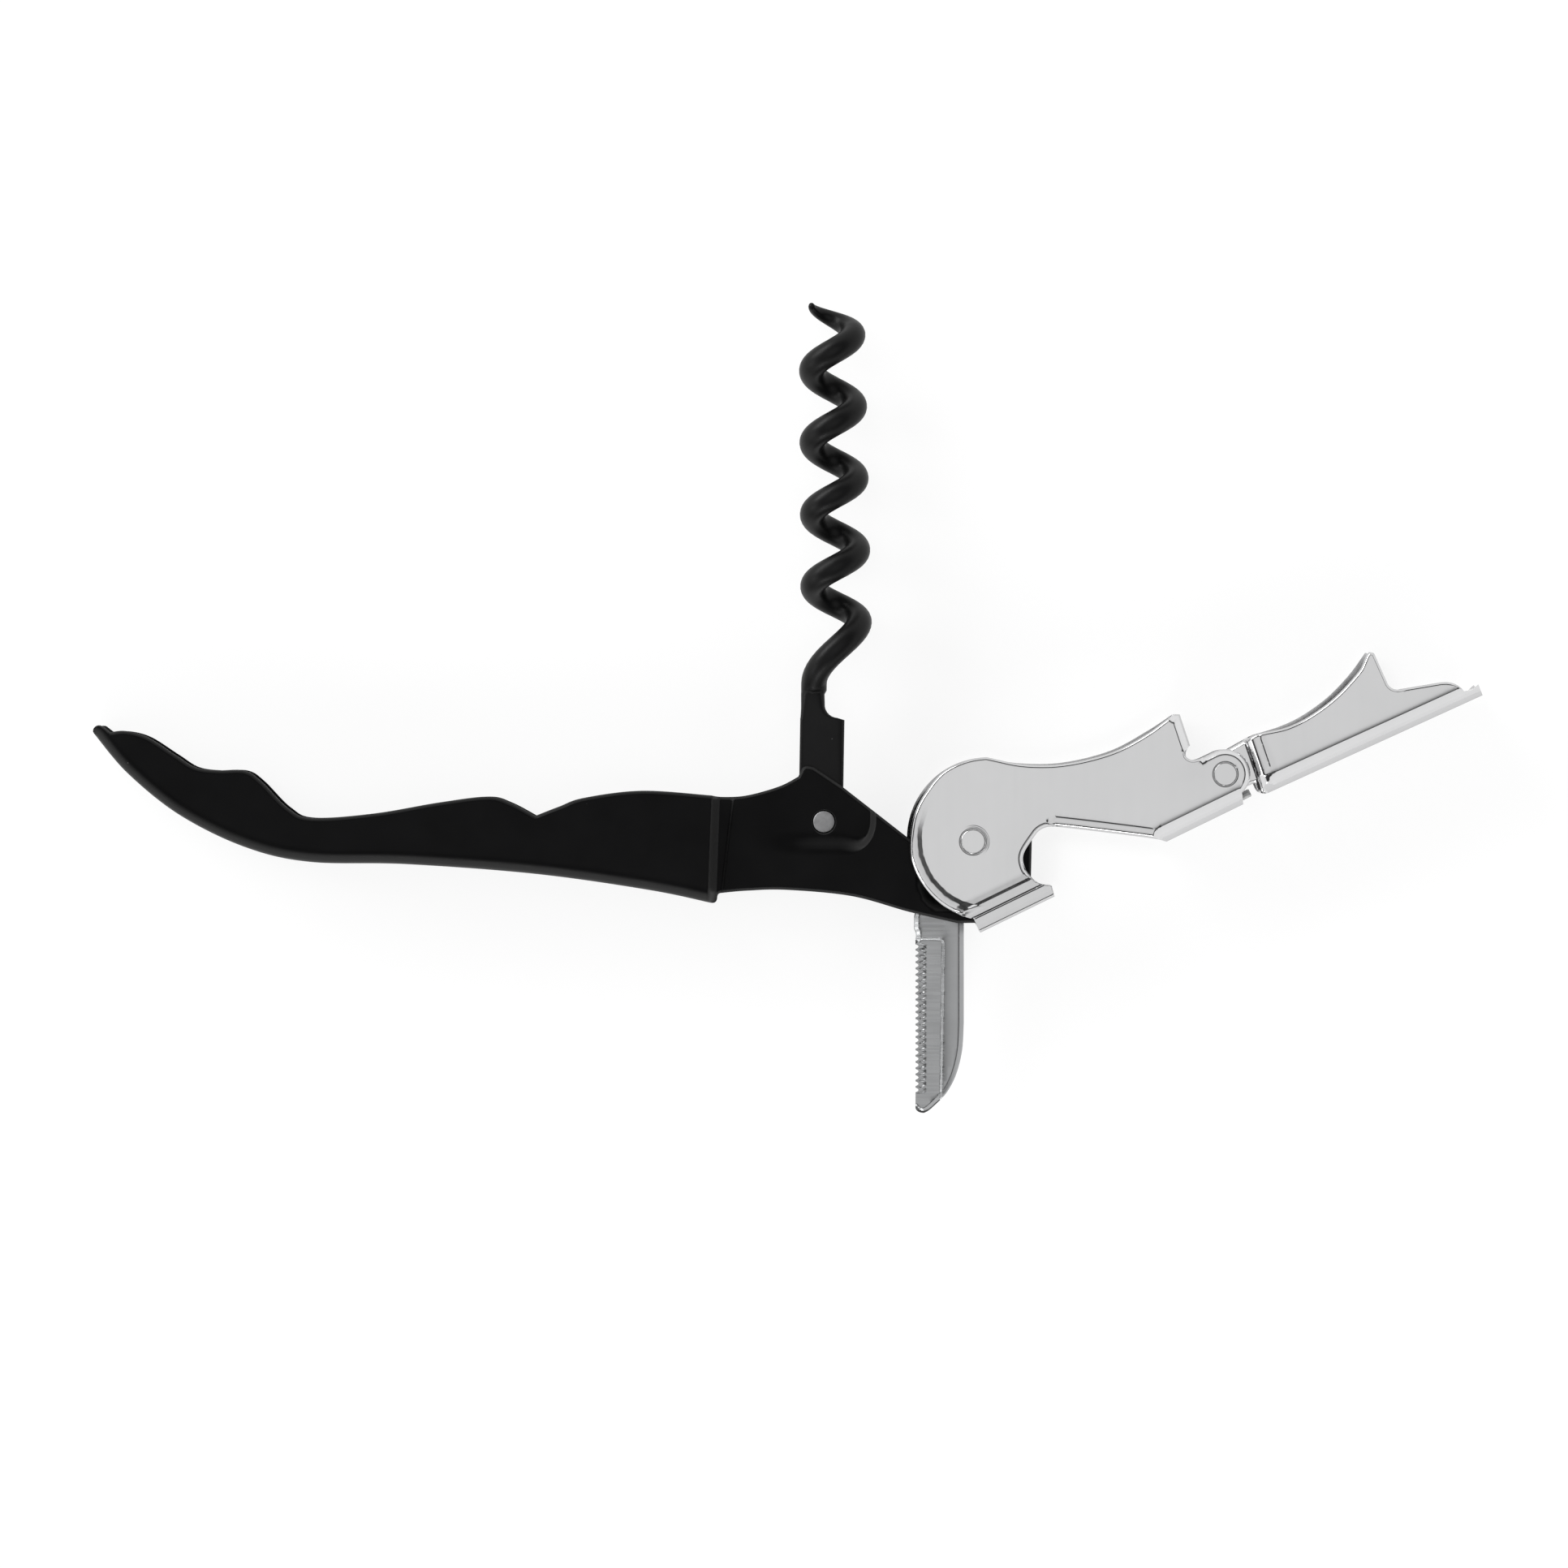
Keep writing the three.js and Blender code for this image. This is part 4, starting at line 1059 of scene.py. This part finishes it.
PLATE_EDGES = edge_profiles(
    top=((0, 0.5), (0.06, 0.25), (0.16, 0.1), (0.28, 0.03), (0.4, 0)),
    claw=((0, 1.15), (0.1, 0.85), (0.35, 0.62), (0.95, 0.12), (1.2, 0)),
    notch=((0, 0.4), (0.1, 0.18), (0.3, 0)),
    end=((0, 0.5), (0.12, 0.22), (0.4, 0)),
    rim=((0, 0.72), (0.08, 0.52), (0.55, 0.1), (0.66, 0.04), (0.8, 0)),
    spine_end=((0, 2.2), (0.2, 1.75), (0.6, 1.2), (1.1, 0.62), (1.35, 0.46), (2.1, 0.16), (2.4, 0)),
    mouth=((0, 0.85), (0.1, 0.5), (0.25, 0.27), (0.5, 0.16), (1.15, 0.1), (1.4, 0)),
    throat=((0, 0.6), (0.1, 0.34), (0.32, 0.14), (0.6, 0)),
    lip=((0, 1), (0.08, 0.72), (0.25, 0.5), (0.4, 0.45), (1, 0.4), (1.82, 0.45), (2, 0.53),
         (2.2, 0.44), (3.3, 0.31), (3.6, 0.17), (4.5, 0)),
    spine=((0, 2.2), (0.2, 1.82), (0.6, 1.33), (1.2, 0.77), (1.7, 0.4), (2.08, 0.14),
           (2.3, 0.085), (2.6, 0.025), (2.9, 0)),
    hole=((0, 0.14), (0.05, 0.05), (0.12, 0)),
)


def lever_outline():
    line = Outline(6.3, -10.9)
    line.to("lip", (-4.25, -10.9))
    line.arc("top", DISC, DISC_RADIUS, 233, 66)
    line.curve("top", (9.71, 6.45), (14.76, 4.04), (20.99, 2.67), (26.5, 2.85), (30.3, 3.35))
    line.to("claw", (30.9, 3.03), (30.35, -1.1))
    line.corner("notch", (28.6, -1.8), (29.6, -2.8))
    line.corner("notch", (30.2, -3.2), (31.2, -3.2))
    line.arc("rim", BOOT_PIN, 3.2, 90, -74)
    line.to("end", LEVER_BEND_END)
    line.to("spine", (22.3, -10.9))
    line.curve("mouth", (20.76, -9.68), (13.76, -5.1), (10.3, -2.9))
    line.corner("throat", (9, -2.1), (7.8, -2.6))
    line.curve("throat", (5.18, -4.2), (4.5, -5.9), (4.77, -7.56))
    line.corner("throat", (5.1, -8.7), (6.58, -9.45))
    line.to("throat", (6.3, -10.9))
    return line


def around(places, middle):
    """Distance and direction in degrees of places from a middle."""
    x, y = places[:, 0] - middle[0], places[:, 1] - middle[1]
    return np.hypot(x, y), np.degrees(np.arctan2(y, x))


def lever_face(places):
    """Flat, but for the disc's rolled rim, and a dent beside each pin."""
    far, angle = around(places, BOOT_PIN)
    boot_dent = 0.07 * smooth_step(1 - np.hypot(far - 1.72, (angle - 8) / 60) / 0.22)
    far, angle = around(places, DISC)
    angle = angle % 360
    wobble = 0.03 * np.sin(angle * 0.31) + 0.02 * np.sin(angle * 0.83 + 1)
    fade = smooth_step((angle - 112) / 45) * (angle < 262) * smooth_step(places[:, 1] + 8.3)
    roll = np.interp(DISC_RADIUS - far + wobble, *DISC_ROLL[:2]) * fade
    x, y = places.T
    far = np.hypot(x, y)
    side = math.radians(10)  # that the dent beside the lever pin is on
    facing = (x * math.cos(side) + y * math.sin(side)) / np.maximum(far, 1e-6)
    lever_dent = 0.05 * np.clip(1 - abs(far - 1.95) / 0.14, 0, 1) * smooth_step(facing + 0.35)
    return HALF - boot_dent - roll - lever_dent


def disc_rows():
    """Places along the disc's rolled rim, round the dents beside the pins, and round the end of
    the spine's bend."""
    rows = []
    for middle, radii, start, end, count in (
        (DISC, [DISC_RADIUS - inset for inset in np.arange(0.1, 2.2, 0.12)], 112, 240, 110),
        ((0, 0), (1.75, 1.85, 1.95, 2.05, 2.2), 0, 352, 44),
        (BOOT_PIN, (1.62, 1.7, 1.78, 1.86, 1.94), -12, 28, 14),
        (LEVER_BEND_END, BEND_ROWS, 40, 90, None),
    ):
        for radius in radii:
            places = count or round(radius * 7)
            rows.append(ring(middle, radius, np.radians(np.linspace(start, end, places))))
    rows = np.concatenate(rows)
    return rows[(rows[:, 1] > -8.5) | (rows[:, 0] > 30)]


def lever_shrink(places):
    """The near cheek falls a little short of the far one along the disc's top and the top edge."""
    x, y = places.T
    angle = around(places, DISC)[1] % 360
    disc = smooth_step((angle - 95) / 25) * smooth_step((172 - angle) / 25) * 0.36
    ray = np.stack((x - DISC[0], y - DISC[1]), axis=1) / DISC_RADIUS
    upper = smooth_step((x - 7) / 4) * smooth_step((29.5 - x) / 4) * (y > 1.5) * 0.2
    return -ray * disc[:, None] - np.stack((0 * x, upper), axis=1)


# ---------------- boot

BOOT_TILT = 24.5  # degrees, at rest
BOOT_HOLE = 1.6  # mm, radius
BOOT_BEND_END = (5.6, -4.5)  # where the boot's bend runs out
EAR_HALF = 4.5  # mm, from the middle plane to the outside of the ears
EAR_LEAN = 0.1  # mm sideways for each mm up, of the step and the groove
EAR_GROOVE = 5.65  # mm, from the pin to the groove
EAR_STEP = edge_profile((0, 0), (0.28, 0.12), (0.42, 0.7), (0.95, 1.14), (1.17, 1.25), (1.4, 1.3),
                        (3.0, 1.5))[:2]


def boot_outline():
    line = Outline(4.2, -4.5)
    line.corner("end", (3.1, -4.5), (3, -3.4))
    line.to("end", (3, -2.6), (0, -2.6))
    line.arc("end", (0, 0), 2.6, 270, 90)
    line.to("end", (4.6, 3))
    line.to("top", (5.6, 3))
    line.curve("top", (9.1, 2.55), (12.4, 2.6), (16.4, 3.4), (20.2, 4.9), (23.2, 6.6))
    line.to("notch", (23.7, 6.2), (23.66, 1.85))
    line.corner("notch", (23.8, 0.7), (25.3, 0.5))
    line.to("top", (30, -0.75))
    line.corner("top", (31.9, -1.4), (32.2, -3.1))
    line.to("top", (33.2, -3.3), (34.2, -2.96))
    line.to("end", (34.2, -4.5))
    line.to("spine", BOOT_BEND_END)
    line.to("spine_end", (4.2, -4.5))
    return line


def ear_step_start(y):
    return 3.6 + EAR_LEAN * y


def boot_face(places):
    """The ears run inside the lever, and step out to the lever's width. A groove follows."""
    x, y = places.T
    step = np.interp(x - ear_step_start(y), *EAR_STEP)
    across = smooth_step(1 - abs(x - EAR_GROOVE - EAR_LEAN * y) / 0.2)
    return EAR_HALF + step - 0.045 * across * smooth_step((y + 1.7) / 0.4)


def boot_rows():
    """Places along the step and the groove of the ears, and round the end of the bend."""
    x, y = np.mgrid[-0.06:1.6:0.08, -4.4:3:0.25].reshape(2, -1)
    rows = [np.stack((x + ear_step_start(y), y), axis=1)]
    x, y = np.mgrid[-0.24:0.25:0.08, -1.9:2.3:0.25].reshape(2, -1)
    rows.append(np.stack((x + EAR_GROOVE + EAR_LEAN * y, y), axis=1))
    for radius in BEND_ROWS:
        angles = np.radians(np.linspace(90, 180, round(radius * 12)))
        rows.append(ring(BOOT_BEND_END, radius, angles))
    return np.concatenate(rows)


def boot_shrink(places):
    """The near cheek's top edge falls a little short of the far one's."""
    x, y = places.T
    upper = smooth_step((x - 6) / 4) * smooth_step((23 - x) / 2) * (y > 1.8) * 0.35
    return np.stack((0.4 * upper, -upper), axis=1)


# ---------------- pieces


class CORKSCREW_OT_handle(bpy.types.Operator):
    """Builds the painted sheet-steel handle"""

    bl_idname = "corkscrew.handle"
    bl_label = "Handle"

    def execute(self, context):
        paint = satin_black("handle_paint", colours().paint, 0.36, 0.06, 0.16, 0.024)
        holes = [(0, 0, HEAD_HOLE), (*WORM_PIN, RIVET_HOLE), (*KNIFE_PIN, RIVET_HOLE)]
        panel = wall_rows(outside_worm_panel, (-27, -3), (-11, 10), PANEL_LEVELS)
        extra = [panel, shoulder_rows()]
        handle = Sheet(handle_outline(), handle_face, HANDLE_EDGES, holes, extra)
        skin = Skin()
        handle.add(skin, bent_inside(handle, HANDLE_SHEET), ROWS, ("spine",), HANDLE_SHEET)
        piece = skin.piece("handle_shell", placed("lever_hinge"))
        dress(piece, paint, "handle", "handle_paint", "handle")
        return {"FINISHED"}


class CORKSCREW_OT_worm(bpy.types.Operator):
    """Builds the coated wire worm"""

    bl_idname = "corkscrew.worm"
    bl_label = "Worm"

    def execute(self, context):
        coating = satin_black("worm_coating", colours().coating, 0.4, 0.17, 0.1, 0.004)
        matrix = placed("worm_hinge", WORM_LEAN)
        piece = lofted("worm_wire", worm_rings(), matrix)
        drilled(piece, matrix.translation, RIVET_HOLE * MM)
        dress(piece, coating, "worm", "worm_coating", "worm")
        return {"FINISHED"}


class CORKSCREW_OT_knife(bpy.types.Operator):
    """Builds the serrated foil knife"""

    bl_idname = "corkscrew.knife"
    bl_label = "Foil knife"

    def execute(self, context):
        pocket = wall_rows(outside_pocket, (-4.2, -BLADE_LENGTH), (0.2, -6), POCKET_LEVELS)
        extra = [pocket, tooth_places()]
        blade = Sheet(knife_outline(), blade_face, BLADE_EDGES, [(0, 0, RIVET_HOLE)], extra)
        skin = Skin()
        blade.add(skin, blade_back(blade), ROWS[:6], sides=(1,))
        piece = skin.piece("knife_blade", placed("knife_hinge"))
        dress(piece, ground_steel(), "knife", "blade_steel", "knife")
        return {"FINISHED"}


class CORKSCREW_OT_lever(bpy.types.Operator):
    """Builds the lever with its crown-cap lip, claws and tongue, and the boot behind it"""

    bl_idname = "corkscrew.lever"
    bl_label = "Lever and boot"

    def execute(self, context):
        holes = [(0, 0, LEVER_HOLES[0]), (*BOOT_PIN, LEVER_HOLES[1])]
        skin = Skin()
        for side, shrink in ((1, lever_shrink), (-1, None)):
            lever = Sheet(lever_outline(), lever_face, PLATE_EDGES, holes, [disc_rows()], shrink)
            inside = bent_inside(lever, PLATE, LEVER_LEAST)
            lever.add(skin, inside, ROWS + LIP_ROWS, ("lip", "spine"), PLATE, (side,))
        claw = self.small_plate(CLAW, CLAW_OUTSIDE)
        claw.add(skin, plane(CLAW_INSIDE), ROWS[:4])
        self.finish(skin, "lever_arm", "lever", LEVER_TILT, nickel_plate)

        stop = self.small_plate(TONGUE, TONGUE_HALF)
        skin = Skin()
        stop.add(skin, lambda places: -stop.outer(places), ROWS[:4], sides=(1,))
        self.finish(skin, "lever_stop", "lever", LEVER_TILT, cut_edge)

        skin = Skin()
        holes = [(0, 0, BOOT_HOLE)]
        for side, shrink in ((1, boot_shrink), (-1, None)):
            boot = Sheet(boot_outline(), boot_face, PLATE_EDGES, holes, [boot_rows()], shrink)
            boot.add(skin, bent_inside(boot, PLATE), ROWS, ("spine", "spine_end"), PLATE, (side,))
        self.finish(skin, "boot_arm", "boot", BOOT_TILT, nickel_plate)
        return {"FINISHED"}

    @staticmethod
    def small_plate(corners, height):
        line = Outline(*corners[0])
        line.to("notch", *corners[1:])
        return Sheet(line, plane(height), PLATE_EDGES)

    @staticmethod
    def finish(skin, name, body, tilt, material):
        piece = skin.piece(name, placed(body + "_hinge", tilt))
        dress(piece, only_once(material), body, "plated_steel", body)


class CORKSCREW_OT_pins(bpy.types.Operator):
    """Builds the rivets and hinge pins"""

    bl_idname = "corkscrew.pins"
    bl_label = "Pins and rivets"

    def execute(self, context):
        for node, joint, body, material, slot, half in PINS:
            piece = turned(node + "_head", half, placed(joint))
            dress(piece, only_once(material), body, slot, node)
        return {"FINISHED"}


# Node, joint, body, finish, slot, and radius and height in mm of the upper half.
PINS = (
    ("worm_rivet", "worm_hinge", "handle", dull_rivet, "rivet_steel",
     [(1.38, 2.55), (1.34, 2.66), (1.25, 2.7), (0.6, 2.68), (0, 2.67)]),
    ("knife_rivet", "knife_hinge", "handle", dull_rivet, "rivet_steel",
     [(1.38, 1.75), (1.34, 1.86), (1.25, 1.9), (0, 1.88)]),
    ("lever_pin", "lever_hinge", "handle", nickel_plate, "plated_steel",
     [(2.1, 4.3), (2.1, 4.45), (1.58, 4.5), (1.58, 5.85), (1.54, 5.95), (1.47, 5.99),
      (1.4, 6), (1.3, 6), (0, 5.99)]),
    ("boot_pin", "boot_hinge", "lever", nickel_plate, "plated_steel",
     [(1.47, 5.8), (1.46, 5.93), (1.42, 5.975), (1.37, 5.988), (1.3, 5.992), (0, 6)]),
)


# ---------------- stage

STUDIO_LIGHT = 1.5  # strength of the studio's brightest bands
STUDIO_BANDS = (  # height of a direction, and grey
    (0, 0.72), (0.1, 0.8), (0.5, 0.74), (0.6, 0.03), (0.84, 0.03), (0.93, 0.56), (1, 0.66),
)
# Name, place from the tool's middle and size in m, power in W, and whether it is mirrored.
LAMPS = (
    ("key_softbox", (-0.9, 0.75, 0.5), (1.1, 0.4), 11.0, True),
    ("low_softbox", (0.25, -1.0, 0.45), (1.8, 0.6), 5.0, False),
    ("side_softbox", (-1.0, -0.42, 0.4), (0.5, 0.1), 1.0, True),
    ("foot_softbox", (-0.12, -1.0, 0.42), (0.25, 0.2), 1.5, True),
)
CARD_HALF = 3.0  # m, half the side of the white card
VIEW_WIDTH = 200.4 * MM  # that the camera sees at the tool's upper face
AIM = (-24.17 * MM, 7.36 * MM)  # from the lever pin to the middle of the view


def studio_world():
    """A white studio that is brighter and darker in soft bands round the tool."""
    world = bpy.data.worlds.new("studio")
    world.use_nodes = True
    bpy.context.scene.world = world
    shader = Shader(world.node_tree)
    direction = shader.node("ShaderNodeTexCoord")["Generated"]
    height = shader.part(direction, "Z")
    light = shader.node("ShaderNodeValToRGB", {"stops": STUDIO_BANDS}, {"Fac": height})["Color"]
    seen = shader.node("ShaderNodeLightPath")["Is Camera Ray"]
    colour = shader.blend(seen, light, grey(1 / STUDIO_LIGHT))
    back = shader.node("ShaderNodeBackground", None, {"Color": colour, "Strength": STUDIO_LIGHT})
    shader.node("ShaderNodeOutputWorld", None, {"Surface": back["Background"]})


def floor_material():
    """White card: the shadow on it stays, and the eye sees most of it as plain white."""
    material = bpy.data.materials.new("white_card")
    material.use_nodes = True
    shader = Shader(material.node_tree)
    card = shader.node("ShaderNodeBsdfDiffuse", None, {"Color": grey(0.9)})
    white = shader.node("ShaderNodeEmission", None, {"Strength": 1.1})
    seen = shader.node("ShaderNodeLightPath")
    share = seen["Is Camera Ray"] * 0.75 + seen["Is Glossy Ray"] * 0.6
    inputs = {0: share, 1: card["BSDF"], 2: white["Emission"]}
    mixed = shader.node("ShaderNodeMixShader", None, inputs)
    shader.node("ShaderNodeOutputMaterial", None, {"Surface": mixed["Shader"]})
    return material


def added(name, data):
    """A new object in the scene."""
    made = bpy.data.objects.new(name, data)
    bpy.context.scene.collection.objects.link(made)
    return made


def softbox(name, place, size, power, mirrored, target):
    """A lamp that may or may not show as a reflection."""
    lamp = bpy.data.lights.new(name, "AREA")
    lamp.shape = "RECTANGLE"
    lamp.size, lamp.size_y = size
    lamp.energy = power
    made = added(name, lamp)
    made.location = target + Vector(place)
    made.rotation_euler = (target - made.location).to_track_quat("-Z", "Y").to_euler()
    made.visible_glossy = mirrored


class CORKSCREW_OT_stage(bpy.types.Operator):
    """Lays the tool on a white card under soft studio light, with the camera above it"""

    bl_idname = "corkscrew.stage"
    bl_label = "Stage"

    def execute(self, context):
        scene = context.scene
        scene.view_settings.view_transform = "Standard"
        studio_world()

        low, high = cad_box
        card = bpy.data.meshes.new("floor")
        half = CARD_HALF
        corners = ((-half, -half), (half, -half), (half, half), (-half, half))
        card.from_pydata([(x, y, low.z) for x, y in corners], [], [(0, 1, 2, 3)])
        card.materials.append(floor_material())
        added("floor", card)

        for lamp in LAMPS:
            softbox(*lamp, (low + high) / 2)

        lens = bpy.data.cameras.new("camera")
        distance = scene.corkscrew_sizes.camera_height
        lens.lens = lens.sensor_width * distance / VIEW_WIDTH
        lens.clip_end = 20.0
        scene.camera = added("camera", lens)
        pin_low, pin_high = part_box("lever_pin")
        pin = (pin_low + pin_high) / 2
        scene.camera.location = (pin.x + AIM[0], pin.y + AIM[1], high.z + distance)
        return {"FINISHED"}


class CORKSCREW_PT_panel(bpy.types.Panel):
    """Lists the corkscrew's pieces"""

    bl_idname = "CORKSCREW_PT_panel"
    bl_label = "Corkscrew"
    bl_space_type = "VIEW_3D"
    bl_region_type = "UI"
    bl_category = "Corkscrew"

    def draw(self, context):
        layout = self.layout
        for group in (context.scene.corkscrew_sizes, context.scene.corkscrew_colours):
            for key in group.bl_rna.properties.keys():
                if key not in {"rna_type", "name"}:
                    layout.prop(group, key)
        for operator in OPERATORS:
            layout.operator(operator.bl_idname)


OPERATORS = (
    CORKSCREW_OT_handle,
    CORKSCREW_OT_worm,
    CORKSCREW_OT_knife,
    CORKSCREW_OT_lever,
    CORKSCREW_OT_pins,
    CORKSCREW_OT_stage,
)
CLASSES = (CorkscrewSizes, CorkscrewColours, *OPERATORS, CORKSCREW_PT_panel)


def register():
    for made in CLASSES:
        bpy.utils.register_class(made)
    bpy.types.Scene.corkscrew_sizes = bpy.props.PointerProperty(type=CorkscrewSizes)
    bpy.types.Scene.corkscrew_colours = bpy.props.PointerProperty(type=CorkscrewColours)


def unregister():
    del bpy.types.Scene.corkscrew_colours
    del bpy.types.Scene.corkscrew_sizes
    for made in reversed(CLASSES):
        bpy.utils.unregister_class(made)


def main():
    register()
    for operator in OPERATORS:
        group, action = operator.bl_idname.split(".")
        getattr(getattr(bpy.ops, group), action)()


if __name__ == "__main__":
    main()
